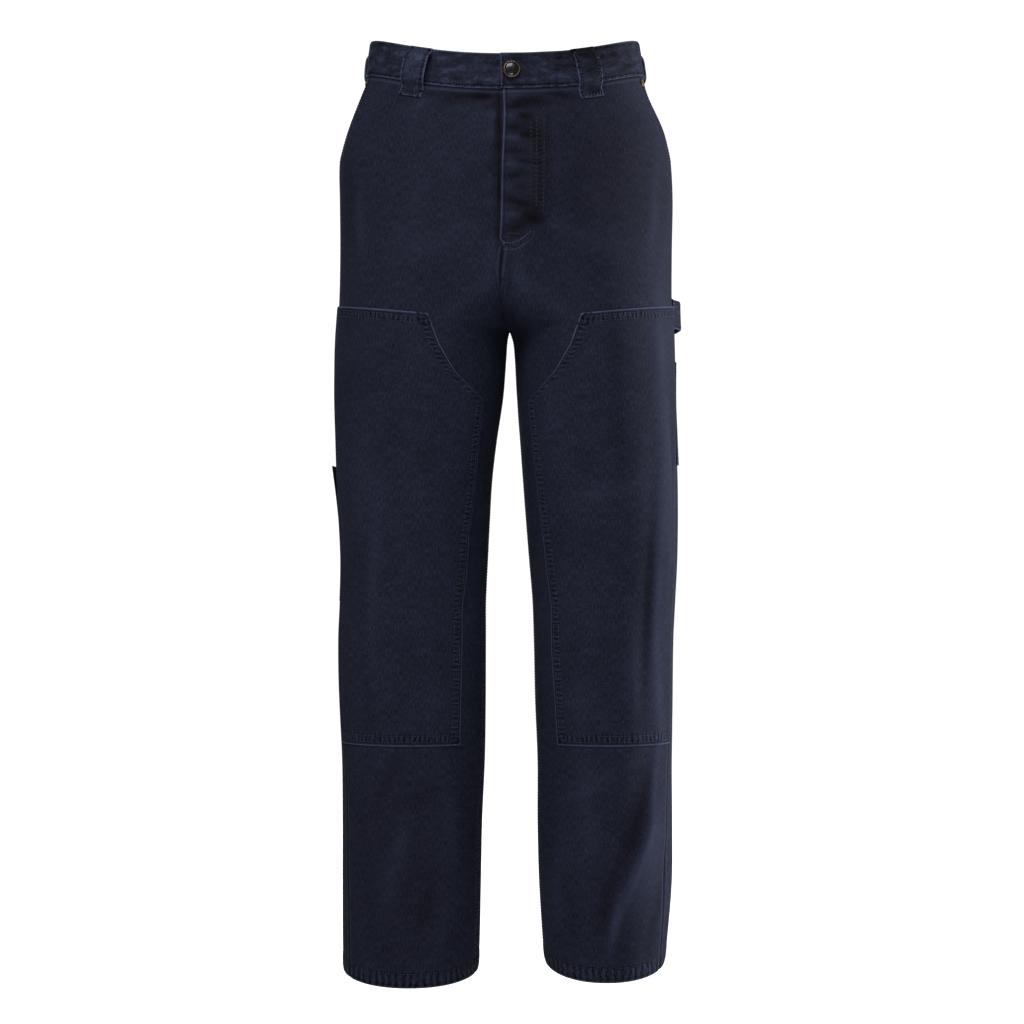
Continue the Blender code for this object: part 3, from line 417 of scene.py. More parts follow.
def makeYarnGroup():  # twill yarns, slubs and cloudy dye
    group = bpy.data.node_groups.new("yarnAndDye", "ShaderNodeTree")
    socket(group, "Cloth", "NodeSocketVector")
    socket(group, "Pitch", "NodeSocketFloat", value=0.9 * mm)
    socket(group, "Height", "NodeSocketFloat", "OUTPUT")
    socket(group, "Tone", "NodeSocketFloat", "OUTPUT")
    start = addNode(group, "NodeGroupInput", (-900, 0))
    end = addNode(group, "NodeGroupOutput", (900, 0))
    cloth, pitch = start.outputs[0], start.outputs[1]
    apart = addNode(group, "ShaderNodeSeparateXYZ", (-700, 200))
    group.links.new(cloth, apart.inputs[0])
    wander = calc(group, "MULTIPLY", stretched(group, cloth, (420, 420, 0), 1.0), 1.4 * mm)
    u = calc(group, "ADD", apart.outputs[0], wander)
    v = calc(group, "ADD", apart.outputs[1], wander)
    turns = calc(group, "DIVIDE", 2 * math.pi, pitch)
    ribs = calc(group, "SINE", calc(group, "MULTIPLY", calc(group, "ADD", u, v), turns))
    warp = calc(group, "SINE", calc(group, "MULTIPLY", u, calc(group, "MULTIPLY", turns, 1.9)))
    weft = calc(group, "SINE", calc(group, "MULTIPLY", v, calc(group, "MULTIPLY", turns, 1.6)))
    slub = stretched(group, cloth, (980, 165, 0), 3.0, 0.6)
    cross = stretched(group, cloth, (120, 1000, 0), 2.0, 0.55)
    grain = stretched(group, cloth, (1500, 1100, 0), 1.0)
    cloud = stretched(group, cloth, (13, 9, 0), 4.0, 0.62)
    height = calc(group, "MULTIPLY_ADD", ribs, 0.30, calc(group, "MULTIPLY", warp, 0.15))
    height = calc(group, "MULTIPLY_ADD", weft, 0.12, height)
    height = calc(group, "MULTIPLY_ADD", slub, 1.3, height)
    height = calc(group, "MULTIPLY_ADD", cross, 0.7, height)
    tone = calc(group, "MULTIPLY", slub, 0.46)
    tone = calc(group, "MULTIPLY_ADD", cross, 0.14, tone)
    tone = calc(group, "MULTIPLY_ADD", grain, 0.24, tone)
    tone = calc(group, "MULTIPLY_ADD", ribs, 0.035, tone)
    tone = calc(group, "MULTIPLY_ADD", cloud, 0.16, tone)
    group.links.new(height, end.inputs["Height"])
    group.links.new(tone, end.inputs["Tone"])
    return group


# worn edges, rows of stitches that pull in, the ladder of puckers between them, and blotches, as bumps with
# painted highlights on ridges and blotches and painted shade in troughs, stitch rows, seams and the listed
# shade places
def makeSewnGroup():
    group = bpy.data.node_groups.new("sewnEdges", "ShaderNodeTree")
    for name in ("Cloth", "Sewn", "Rims"):
        socket(group, name, "NodeSocketVector")
    for name, value in (("Near", 2.0 * mm), ("Far", 8.0 * mm), ("End Near", 15.6 * mm), ("End Far", 15.6 * mm),
                        ("Pitch", 4.6 * mm), ("End Pitch", 4.6 * mm), ("Start", 0.0), ("Pull", 1.0),
                        ("End Pull", 1.0), ("Blotch", 0.2)):
        socket(group, name, "NodeSocketFloat", value=value)
    for name in ("Height", "Worn", "Painted Shade"):
        socket(group, name, "NodeSocketFloat", "OUTPUT")
    start = addNode(group, "NodeGroupInput", (-1200, 0))
    end = addNode(group, "NodeGroupOutput", (1200, 0))
    cloth, sewn, rims, near, far, endNear, endFar, pitch, endPitch, begin, pull, endPull, blotch = (
        start.outputs[k] for k in range(13))
    places, away, rim = (addNode(group, "ShaderNodeSeparateXYZ", (-1000, 300 * k)) for k in range(3))
    for source, target in ((cloth, places), (sewn, away), (rims, rim)):
        group.links.new(source, target.inputs[0])
    patchy = stretched(group, cloth, (95, 95, 0), 3.0, 0.6)
    uneven = stretched(group, cloth, (60, 60, 0), 2.0)
    strength = calc(group, "MULTIPLY_ADD", stretched(group, cloth, (150, 150, 0), 2.0), 4.0, -1.35, clamp=True)
    total = {}
    for k, (distance, along, low, high, length, share) in enumerate((
            (away.outputs[0], places.outputs[1], near, far, pitch, pull),
            (away.outputs[1], places.outputs[0], endNear, endFar, endPitch, endPull))):
        turns = calc(group, "DIVIDE", 2 * math.pi, length)
        phase = calc(group, "MULTIPLY_ADD", along, turns, calc(group, "MULTIPLY", uneven, 9.0))
        beyond = calc(group, "DIVIDE", calc(group, "SUBTRACT", distance, high), 2.4 * mm)
        inside = calc(group, "SUBTRACT", 1.0, calc(group, "MAXIMUM", beyond, 0.0), clamp=True)
        begun = calc(group, "DIVIDE", calc(group, "SUBTRACT", distance, begin), 1.2 * mm, clamp=True)
        inside = calc(group, "MULTIPLY", inside, begun)
        pucker = calc(group, "MULTIPLY", calc(group, "MULTIPLY", calc(group, "SINE", phase), inside), strength)
        rows = calc(group, "ADD", bell(group, distance, low, 0.9 * mm), bell(group, distance, high, 0.9 * mm))
        for key, value in (("pucker", pucker), ("rows", rows)):
            value = calc(group, "MULTIPLY", value, share)
            total[key] = value if k == 0 else calc(group, "ADD", total[key], value)
    # pucker ridges lighter, partly rubbed wear and partly painted highlight; pucker troughs take painted shade
    ridgeWearAndHighlight = calc(group, "MAXIMUM", total["pucker"], 0.0)
    troughShade = calc(group, "MAXIMUM", calc(group, "MULTIPLY", total["pucker"], -1.0), 0.0)
    # blotches: mottled wear, with painted highlights and painted shade of small wrinkles, bumped to match
    spots = stretched(group, cloth, (48, 105, 0), 3.0, 0.62)
    light = calc(group, "MULTIPLY", calc(group, "MULTIPLY_ADD", spots, 7.0, -3.75, clamp=True), blotch)
    blotchShade = calc(group, "MULTIPLY", calc(group, "MULTIPLY_ADD", spots, -7.0, 3.25, clamp=True), blotch)
    height = calc(group, "MULTIPLY_ADD", total["rows"], -0.6, calc(group, "MULTIPLY", total["pucker"], 0.8))
    height = calc(group, "MULTIPLY_ADD", calc(group, "MULTIPLY", spots, blotch), 2.6, height)
    wear = calc(group, "MULTIPLY_ADD", patchy, 1.8, 0.05, clamp=True)
    rimWear = calc(group, "MULTIPLY", bell(group, rim.outputs[0], 0.3 * mm, 1.15 * mm), wear)
    seamRidge = calc(group, "MULTIPLY", bell(group, rim.outputs[1], 3.6 * mm, 1.3 * mm), wear)
    worn = calc(group, "MULTIPLY_ADD", ridgeWearAndHighlight, 0.26, rimWear)
    worn = calc(group, "MULTIPLY_ADD", light, 0.42, worn)
    worn = calc(group, "MULTIPLY_ADD", seamRidge, 0.30, worn, clamp=True)
    # painted shade: darker in pucker troughs, along stitch rows, in seam grooves, in shading blotches, just
    # inside worn edges and at the listed shade places
    paintedShade = calc(group, "MULTIPLY_ADD", troughShade, 0.85, calc(group, "MULTIPLY", total["rows"], 0.35))
    paintedShade = calc(group, "MULTIPLY_ADD", blotchShade, 0.85, paintedShade)
    paintedShade = calc(group, "MULTIPLY_ADD", bell(group, rim.outputs[1], 0.0, 1.4 * mm), 0.85, paintedShade)
    # painted shade: a dark line just inside each worn edge
    shade = calc(group, "MULTIPLY", bell(group, rim.outputs[0], 3.2 * mm, 1.3 * mm), 0.35)
    paintedShade = calc(group, "ADD", calc(group, "ADD", paintedShade, shade), rim.outputs[2], clamp=True)
    group.links.new(height, end.inputs["Height"])
    group.links.new(worn, end.inputs["Worn"])
    group.links.new(paintedShade, end.inputs["Painted Shade"])
    return group


yarnGroup = makeYarnGroup()
sewnGroup = makeSewnGroup()

# the worn colour serves both rubbed wear and painted highlights; the last colour is painted shade
clothColours = {
    "low": (0.0072, 0.0080, 0.0142), "mid": (0.0155, 0.0178, 0.0325), "high": (0.0305, 0.0360, 0.0700),
    "worn": (0.080, 0.096, 0.185), "paintedShade": (0.0050, 0.0042, 0.0052),
}


def colourMix(tree, share, first, second):
    node = tree.nodes.new("ShaderNodeMix")
    node.data_type = "RGBA"
    for key, value in ((0, share), (6, first), (7, second)):
        if isinstance(value, tuple):
            node.inputs[key].default_value = (*value, 1.0)
        elif isinstance(value, float):
            node.inputs[key].default_value = value
        else:
            tree.links.new(value, node.inputs[key])
    return node.outputs[2]


def newMaterial(name):
    material = bpy.data.materials.new(name)
    material.use_nodes = True
    return material, material.node_tree, material.node_tree.nodes["Principled BSDF"]


def bumped(tree, height, strength, distance, under=None):
    bump = addNode(tree, "ShaderNodeBump", (-200, -300))
    bump.inputs["Strength"].default_value = strength
    bump.inputs["Distance"].default_value = distance
    tree.links.new(height, bump.inputs["Height"])
    if under:
        tree.links.new(under, bump.inputs["Normal"])
    return bump.outputs["Normal"]


def makeClothFinish(name, rows, pitches=(4.8, 4.8, 1.0), pulls=(1.0, 1.0), blotch=0.15, lighter=1.0, wear=0.8):
    material, tree, shader = newMaterial(name)
    places = addNode(tree, "ShaderNodeUVMap", (-1600, 200), uv_map="cloth")
    edge = addNode(tree, "ShaderNodeAttribute", (-1600, -200), attribute_name="sewn")
    rims = addNode(tree, "ShaderNodeAttribute", (-1600, -500), attribute_name="rims")
    yarn = addNode(tree, "ShaderNodeGroup", (-1300, 300), node_tree=yarnGroup)
    sewn = addNode(tree, "ShaderNodeGroup", (-1300, -100), node_tree=sewnGroup)
    tree.links.new(places.outputs[0], yarn.inputs["Cloth"])
    tree.links.new(places.outputs[0], sewn.inputs["Cloth"])
    tree.links.new(edge.outputs["Vector"], sewn.inputs["Sewn"])
    tree.links.new(rims.outputs["Vector"], sewn.inputs["Rims"])
    sizes = ("Near", "Far", "End Near", "End Far", "Pitch", "End Pitch", "Start")
    for key, value in zip(sizes, rows + pitches):
        sewn.inputs[key].default_value = value * mm
    for key, value in zip(("Pull", "End Pull", "Blotch"), pulls + (blotch,)):
        sewn.inputs[key].default_value = value
    parts = addNode(tree, "ShaderNodeSeparateXYZ", (-1300, -500))
    tree.links.new(edge.outputs["Vector"], parts.inputs[0])

    ramp = addNode(tree, "ShaderNodeValToRGB", (-900, 400))
    stops = ramp.color_ramp.elements
    stops[0].position = 0.39
    stops[0].color = (*[value * lighter for value in clothColours["low"]], 1)
    stops[1].position = 0.62
    stops[1].color = (*[value * lighter for value in clothColours["high"]], 1)
    middle = stops.new(0.50)
    middle.color = (*[value * lighter for value in clothColours["mid"]], 1)
    tree.links.new(yarn.outputs["Tone"], ramp.inputs[0])

    # painted highlight on raised folds and creases, painted shade in sunk ones
    foldHighlight = calc(tree, "MULTIPLY", parts.outputs[2], 0.20, clamp=True)
    foldShade = calc(tree, "MULTIPLY", parts.outputs[2], -0.65, clamp=True)
    colour = colourMix(tree, foldHighlight, ramp.outputs[0], clothColours["worn"])
    colour = colourMix(tree, foldShade, colour, clothColours["paintedShade"])
    # lighter where rubbed, with painted highlights on pucker ridges and blotches
    colour = colourMix(tree, calc(tree, "MULTIPLY", sewn.outputs["Worn"], wear), colour, clothColours["worn"])
    # painted shade from the sewing and from the listed shade places
    colour = colourMix(tree, sewn.outputs["Painted Shade"], colour, clothColours["paintedShade"])
    tree.links.new(colour, shader.inputs["Base Color"])
    tree.links.new(calc(tree, "MULTIPLY_ADD", yarn.outputs["Tone"], -0.25, 0.98), shader.inputs["Roughness"])
    shader.inputs["Specular IOR Level"].default_value = 0.06
    shader.inputs["Sheen Weight"].default_value = 0.02
    shader.inputs["Sheen Roughness"].default_value = 0.4
    shader.inputs["Sheen Tint"].default_value = (0.45, 0.50, 0.75, 1.0)

    coarse = bumped(tree, sewn.outputs["Height"], 0.9, 1.0 * mm)
    fine = bumped(tree, yarn.outputs["Height"], 0.55, 0.16 * mm, coarse)
    tree.links.new(fine, shader.inputs["Normal"])
    return material


# in mm: how far the rows are from side edges and end edges, the pitch of the puckers and where they start
panelFinish = makeClothFinish("panelCloth", (2.0, 8.0, 15.6, 15.6), (5.0, 7.8, 0.0), (1.0, 1.0), 0.12)
pocketFinish = makeClothFinish("pocketCloth", (2.0, 8.0, 2.0, 8.0))
patchFinish = makeClothFinish("patchCloth", (4.4, 11.4, 4.4, 11.4), (5.2, 5.6, 3.4), blotch=0.12, lighter=1.03,
                              wear=1.0)
bandFinish = makeClothFinish("bandCloth", (1.9, 1.9, 1.9, 1.9), (9.0, 9.0, 0.0), (0.8, 0.9), 0.9, 1.10, 0.9)
loopFinish, paleLoopFinish = (
    makeClothFinish(name, (3.4, 3.4, 2.6, 2.6), (7.0, 7.0, 0.0), (0.8, 0.8), 0.85, lighter, 1.0)
    for name, lighter in (("loopCloth", 1.0), ("paleLoopCloth", 1.75)))


def makeThreadFinish(name, dark, light):
    material, tree, shader = newMaterial(name)
    places = addNode(tree, "ShaderNodeTexCoord", (-900, 0))
    worn = stretched(tree, places.outputs["Object"], (90, 90, 90), 2.0)
    ply = stretched(tree, places.outputs["Object"], (2600, 2600, 2600), 1.0)
    share = calc(tree, "MULTIPLY_ADD", worn, 2.2, -0.7, clamp=True)
    colour = colourMix(tree, share, dark, light)
    tree.links.new(colour, shader.inputs["Base Color"])
    tree.links.new(calc(tree, "MULTIPLY_ADD", ply, 0.3, 0.55), shader.inputs["Roughness"])
    tree.links.new(bumped(tree, ply, 0.4, 0.1 * mm), shader.inputs["Normal"])
    shader.inputs["Specular IOR Level"].default_value = 0.3
    return material


threadFinish = makeThreadFinish("thread", (0.014, 0.016, 0.030), (0.056, 0.066, 0.125))
# painted shade: near-black thread for the sunken fly rows and bartacks, dark as the shade in them
shadowedThreadFinish = makeThreadFinish("shadowedThread", (0.004, 0.004, 0.006), (0.012, 0.013, 0.022))


def makeMetalFinish(name, bright, dark, roughness, metallic, coat=0.0, gloss=0.5):
    material, tree, shader = newMaterial(name)
    places = addNode(tree, "ShaderNodeTexCoord", (-900, 0))
    tarnish = stretched(tree, places.outputs["Object"], (420, 420, 420), 3.0, 0.6)
    fineMarks = stretched(tree, places.outputs["Object"], (900, 900, 2700), 2.0)
    share = calc(tree, "MULTIPLY_ADD", tarnish, 2.4, -0.75, clamp=True)
    tree.links.new(colourMix(tree, share, bright, dark), shader.inputs["Base Color"])
    tree.links.new(calc(tree, "MULTIPLY_ADD", tarnish, 0.25, roughness), shader.inputs["Roughness"])
    tree.links.new(bumped(tree, fineMarks, 0.15, 0.08 * mm), shader.inputs["Normal"])
    shader.inputs["Metallic"].default_value = metallic
    shader.inputs["Specular IOR Level"].default_value = gloss
    shader.inputs["Coat Weight"].default_value = coat
    shader.inputs["Coat Roughness"].default_value = 0.05
    return material


brassFinish = makeMetalFinish("agedBrass", (0.40, 0.27, 0.12), (0.10, 0.062, 0.028), 0.30, 1.0)
domeFinish = makeMetalFinish("darkDome", (0.006, 0.007, 0.011), (0.012, 0.012, 0.016), 0.08, 0.0, 0.22, 0.3)
rivetFinish = makeMetalFinish("agedRivet", (0.17, 0.115, 0.06), (0.040, 0.028, 0.018), 0.36, 1.0)

print("jeans: sheets and threads")


def wallMesh(name, grid, thick):  # a closed wall under a grid of points, with its places kept
    outer = grid["points"]
    inner = outer - grid["normals"] * np.broadcast_to(thick, outer.shape[:2])[..., None]
    rows, columns = outer.shape[:2]
    under = rows * columns
    points = np.concatenate([outer.reshape(-1, 3), inner.reshape(-1, 3)])
    index = np.arange(under).reshape(rows, columns)
    a, b, c, d = index[:-1, :-1], index[:-1, 1:], index[1:, 1:], index[1:, :-1]
    top = np.stack([a, b, c, d], axis=-1).reshape(-1, 4)
    sides = []
    for line in (index[0], index[-1][::-1], index[::-1, 0], index[:, -1]):
        sides.append(np.stack([line[1:], line[:-1], line[:-1] + under, line[1:] + under], axis=-1))
    faces = np.concatenate([top, top[:, ::-1] + under] + sides)
    normal = np.cross(outer[1, 0] - outer[0, 0], outer[0, 1] - outer[0, 0])
    if np.dot(normal, grid["normals"][0, 0]) > 0:
        faces = faces[:, ::-1]
    mesh = bpy.data.meshes.new(name)
    mesh.from_pydata(points.tolist(), [], faces.tolist())
    mesh.update()
    uv = np.concatenate([grid["cloth"].reshape(-1, 2)] * 2)
    corners = np.empty(len(mesh.loops), np.int32)
    mesh.loops.foreach_get("vertex_index", corners)
    layer = mesh.uv_layers.new(name="cloth")
    layer.data.foreach_set("uv", uv[corners].ravel().astype(np.float32))
    for key in ("sewn", "rims"):
        values = np.concatenate([grid[key].reshape(-1, 3)] * 2)
        kept = mesh.attributes.new(key, "FLOAT_VECTOR", "POINT")
        kept.data.foreach_set("vector", values.ravel().astype(np.float32))
    return mesh


def finishPiece(piece, finish, node, bevel=0.0, sharp=50.0):
    bpy.ops.object.select_all(action="DESELECT")
    bpy.context.view_layer.objects.active = piece
    piece.select_set(True)
    if bevel:
        rounding = piece.modifiers.new("rounding", "BEVEL")
        rounding.width = bevel
        rounding.segments = 2
        rounding.limit_method = "ANGLE"
        rounding.angle_limit = math.radians(sharp)
        bpy.ops.object.modifier_apply(modifier=rounding.name)
    bpy.ops.object.shade_smooth_by_angle(angle=math.radians(sharp))
    piece.data.materials.clear()
    piece.data.materials.append(finish)
    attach(piece, "root")
    if node:
        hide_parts(*([node] if isinstance(node, str) else node))


def grainPlaces(grid):  # across from an upright line down the middle of the leg, and down from the waist
    points, across = grid["points"], grid["across"]
    line = 104 * mm * grid["side"][0, 0]
    start = np.empty(len(points))
    for r in range(len(points)):
        order = np.argsort(points[r, :, 0])
        start[r] = np.interp(line, points[r, order, 0], across[r, order])
    return np.stack([across - start[:, None], -points[..., 2]], axis=-1)


def makeSheet(name, node, grid, finish, sewn=(), worn=(), seams=(), fields=None, thick=None, bevel=0.0,
              grain=False, shift=0.0):
    distance = edgeDistances(grid)
    none = np.full(grid["across"].shape, 1.0)
    fields = fields or {}

    def nearest(edges, *extra):
        return np.minimum.reduce([none] + [distance[edge] for edge in edges] + list(extra))

    side = nearest([edge for edge in sewn if edge in ("first", "last")], fields.get("sewn", none))
    end = nearest([edge for edge in sewn if edge in ("top", "bottom")])
    # sewn z carries the fold relief for the painted highlight and shade
    grid["sewn"] = np.stack([side, end, grid["relief"]], axis=-1)
    # rims: distance to worn edges, distance to seams, and the share of painted shade
    grid["rims"] = np.stack([nearest(worn, fields.get("worn", none)), nearest(seams, fields.get("seams", none)),
                             grid["dark"] * fields.get("dark", 1.0)], axis=-1)
    if grain:
        grid["cloth"] = grainPlaces(grid) + shift
    else:
        centre = grid["across"].shape[1] // 2
        u = grid["across"] - grid["across"][:, centre:centre + 1]
        grid["cloth"] = np.stack([u, grid["down"][:, centre:centre + 1] + 0 * u], axis=-1) + shift
    mesh = wallMesh(name, grid, body["cloth"] if thick is None else thick)
    piece = bpy.data.objects.new(name, mesh)
    bpy.context.scene.collection.objects.link(piece)
    finishPiece(piece, finish, node, bevel)
    return piece


threadSize = {"pitch": 3.3 * mm, "long": 2.5 * mm, "wide": 0.85 * mm, "high": 0.42 * mm}
twinRows, patchTwinRows, hemRows = (2.0 * mm, 8.0 * mm), (4.4 * mm, 11.4 * mm), (15.6 * mm,)
runOut = 2.0 * mm  # how far short of an edge a row of stitches stops
threadLines = {"front": [], "back": [], "trim": [], "fly": [], "curve": []}


def sewLine(grid, edge, distance, start=0.0, stop=0.0, above=None, below=None):
    points, normals = grid["points"], grid["normals"]
    arc, other = grid["across"], grid["down"]
    if edge in ("top", "bottom"):
        points, normals = points.transpose(1, 0, 2), normals.transpose(1, 0, 2)
        arc, other = other.T, arc.T
    if edge in ("last", "bottom"):
        points, normals, other = points[:, ::-1], normals[:, ::-1], other[:, ::-1]
        arc = arc[:, -1:] - arc[:, ::-1]
    line = []
    ways = []
    for r in range(len(arc)):
        k = int(np.searchsorted(arc[r], distance))
        if k == 0 or k >= arc.shape[1]:
            continue
        t = (distance - arc[r, k - 1]) / (arc[r, k] - arc[r, k - 1])
        place = mix(other[r, k - 1], other[r, k], t)
        whole = mix(other[-1, k - 1], other[-1, k], t)
        point = mix(points[r, k - 1], points[r, k], t)
        if place < start or place > whole - stop:
            continue
        if (above is not None and point[2] < above) or (below is not None and point[2] > below):
            continue
        line.append(point)
        ways.append(mix(normals[r, k - 1], normals[r, k], t))
    return np.array(line), np.array(ways)


# rows of stitches along edges; without a start or stop, a row ends as far in as it lies from its edge
def sew(part, grid, edges, distances, start=None, stop=None, **bounds):
    for edge in edges:
        for distance in distances:
            ends = (distance if start is None else start, distance if stop is None else stop)
            threadLines[part].append(sewLine(grid, edge, distance, *ends, **bounds))


def makeThreads(name, lines, size=threadSize, finish=threadFinish):
    along, out = [], []
    centres = []
    for line, ways in lines:
        if len(line) < 2:
            continue
        arc = np.concatenate([[0], np.cumsum(np.linalg.norm(np.diff(line, axis=0), axis=1))])
        count = int(arc[-1] / size["pitch"])
        if count < 1:
            continue
        at = (np.arange(count) + 0.5) * arc[-1] / count
        half = size["long"] / 2
        place = [np.interp(at, arc, line[:, k]) for k in range(3)]
        ahead = [np.interp(at + half, arc, line[:, k]) for k in range(3)]
        behind = [np.interp(at - half, arc, line[:, k]) for k in range(3)]
        centres.append(np.stack(place, axis=-1))
        along.append(np.stack(ahead, axis=-1) - np.stack(behind, axis=-1))
        out.append(np.stack([np.interp(at, arc, ways[:, k]) for k in range(3)], axis=-1))
    centre, way, normal = np.concatenate(centres), np.concatenate(along), np.concatenate(out)
    way /= np.linalg.norm(way, axis=1, keepdims=True)
    across = np.cross(normal, way)
    across /= np.linalg.norm(across, axis=1, keepdims=True)
    normal = np.cross(way, across)
    half, wide, high = size["long"] / 2, size["wide"] / 2, size["high"]
    shape = [(-half, 0, -0.3 * high)]
    for x in (-0.55 * half, 0.55 * half):
        shape += [(x, -wide, 0.1 * high), (x, 0, high), (x, wide, 0.1 * high), (x, 0, -0.5 * high)]
    shape += [(half, 0, -0.3 * high)]
    shape = np.array(shape)
    points = (centre[:, None] + way[:, None] * shape[None, :, :1] + across[:, None] * shape[None, :, 1:2]
              + normal[:, None] * shape[None, :, 2:])
    faces = []
    for k in range(4):
        n = (k + 1) % 4
        faces += [(0, 1 + n, 1 + k), (9, 5 + k, 5 + n)]
    quads = [(1 + k, 1 + (k + 1) % 4, 5 + (k + 1) % 4, 5 + k) for k in range(4)]
    every = []
    for i in range(len(centre)):
        every += [tuple(j + 10 * i for j in face) for face in faces + quads]
    mesh = bpy.data.meshes.new(name)
    mesh.from_pydata(points.reshape(-1, 3).tolist(), [], every)
    mesh.update()
    piece = bpy.data.objects.new(name, mesh)
    bpy.context.scene.collection.objects.link(piece)
    finishPiece(piece, finish, None, sharp=60.0)
    print(f"  {name}: {len(centre)} stitches")
    return piece


print("jeans: fronts, patches and slash pockets")

panel = {
    "torsoRows": [-20, -45, -70, -93, -115.7, -140, -165, -190, -210, -225],
    "crotchRows": [-244.4, -262.5, -278, -290, -297.6, -300],
    "legRows": [-314, -335, -360, -390, -420, -450, -480, -510, -540, -570, -600, -640, -680, -720, -756,
                -790, -825, -860, -895, -930, -960],
    "rowStep": 4.5 * mm, "flyStep": 2.3 * mm, "parts": 4, "close": (0.06, 0.12), "hemClose": (0.03, 0.1),
    "frontColumns": 16, "patchColumns": 10, "backColumns": 14, "seamTurn": 4.0, "hemStop": 17 * mm,
    "patchTopRow": 12, "patchBottomRow": 30, "cornerRows": [18.66, 18.70, 18.74], "backFirstRow": 4,
}
slash = {"end": -0.1157, "topTurn": 25.0, "endTurn": 3.0, "steps": 4, "rows": 5}
fly = {"end": -0.215, "lift": 1.5 * mm, "lapTurn": 1.6, "raisedFrom": 148.0, "raisedOver": 14.0}
ladder = {"across": 34.0 * mm, "top": -0.080, "bottom": -0.176, "fade": 8.0 * mm, "narrowing": 0.22,
          "faint": 8.8 * mm, "ending": 3.0 * mm}  # like a distance from a sewn edge: the larger, the fainter
patch = {"topOuter": -0.272, "topInner": -0.289, "topLevel": -0.278, "bottom": -0.756, "above": 108.0,
         "below": 118.0}

# level, and the inner edge of the right and the left patch across, in mm
patchEdges = np.array([
    (-289, -83.5, 80.5), (-322, -71.0, 69.0), (-350, -55.0, 53.0), (-381, -24.5, 25.0),
    (-412, -28.5, 28.0), (-450, -32.0, 32.0), (-487, -35.3, 36.5), (-527, -40.5, 40.5),
    (-565, -42.8, 45.0), (-604, -47.2, 50.0), (-652, -48.2, 50.5), (-700, -49.3, 53.5),
    (-756, -50.4, 57.0),
], float)


def patchAcross(side, height):  # straight between the rows, so that the corners stay sharp
    column = 1 if side == right else 2
    return np.interp(-height / mm, -patchEdges[:, 0], patchEdges[:, column])


def rowLevels(side):
    hem = body["hem"][side]
    levels = [level * mm for level in panel["torsoRows"] + panel["crotchRows"] + panel["legRows"]]
    levels += [hem + body["hemDepth"], hem]
    levels[0] = body["bandBottom"] - body["gap"]
    return np.array(levels)


def turnAt(side, across, height):  # the turn at which the front has a given x
    low = np.zeros(height.shape)
    high = np.full(height.shape, 180.0)
    for _ in range(40):
        middle = (low + high) / 2
        outside = (bodyPoint(side, middle, height)[..., 0] - across) * side > 0
        low = np.where(outside, middle, low)
        high = np.where(outside, high, middle)
    return (low + high) / 2


def patchTurn(side, height):
    level = np.clip(height, patch["bottom"], patch["topInner"])
    turn = turnAt(side, patchAcross(side, level) * mm, level)
    turn = mix(turn, patch["above"], smooth((height - patch["topInner"]) / 0.10))
    return mix(turn, patch["below"], smooth((patch["bottom"] - height) / 0.12))


def slashTurn(height):
    share = np.maximum((height - slash["end"]) / (body["bandBottom"] - slash["end"]), 0.0)
    turn = mix(slash["endTurn"], slash["topTurn"], share ** 0.9)
    return np.where(height < slash["end"] - 1.0 * mm, 0.0, turn)


def frontPlaces(side, rows, columns):
    levels = rowLevels(side)
    height = np.interp(rows, np.arange(len(levels)), levels)
    starts = np.maximum(slashTurn(levels), twistOf[side][0](levels))
    start = np.interp(rows, np.arange(len(levels)), starts)[:, None]
    fade = np.maximum(0.0, 1.0 - np.abs(height - patch["topLevel"]) / 0.06)
    warpOuter = ((patch["topOuter"] - patch["topLevel"]) * fade)[:, None]
    warpInner = ((patch["topInner"] - patch["topLevel"]) * fade)[:, None]
    height = height[:, None]
    edge = patchTurn(side, height + warpInner)
    end = 180.0 - twistOf[side][1](height)
    nearEnd = end - panel["seamTurn"]
    if side == left:
        end = end + fly["lapTurn"] * smooth((height - fly["end"]) / 0.006)
    patchLast, lastColumn = panel["patchColumns"], panel["frontColumns"]
    c = columns[None, :]
    onPatch = np.clip(c / patchLast, 0, 1)
    inward = np.clip((c - patchLast) / (lastColumn - 1 - patchLast), 0, 1)
    atSeam = np.clip(c - (lastColumn - 1), 0, 1)
    turn = np.where(c <= patchLast, mix(start, edge, onPatch), mix(edge, nearEnd, inward))
    turn = np.where(c > lastColumn - 1, mix(nearEnd, end, atSeam), turn)
    warp = np.where(c <= patchLast, mix(warpOuter, warpInner, onPatch), mix(warpInner, 0.0, inward))
    return turn, height + warp


def flyRaise(turn, height):  # at its top it follows the lap of the band
    along = smooth((height - fly["end"] + 0.035) / 0.030)
    raised = fly["lift"] * along * smooth((turn - fly["raisedFrom"]) / fly["raisedOver"])
    underBand = body["lapLift"] * smooth((turn - body["lapFrom"]) / body["lapOver"])
    return mix(raised, underBand, smooth((height + 0.050) / 0.030))


def hemThick(side, height):
    return np.where(height <= body["hem"][side] + body["hemDepth"] + 0.1 * mm, body["hemCloth"], body["cloth"])


def raiseHem(grid, side, height):  # the turned-up hem stands a little proud of the leg
    share = smooth((body["hem"][side] + body["hemDepth"] - height) / (2 * mm))
    grid["points"] += grid["normals"] * (0.5 * mm * share)[..., None]


grids = {}

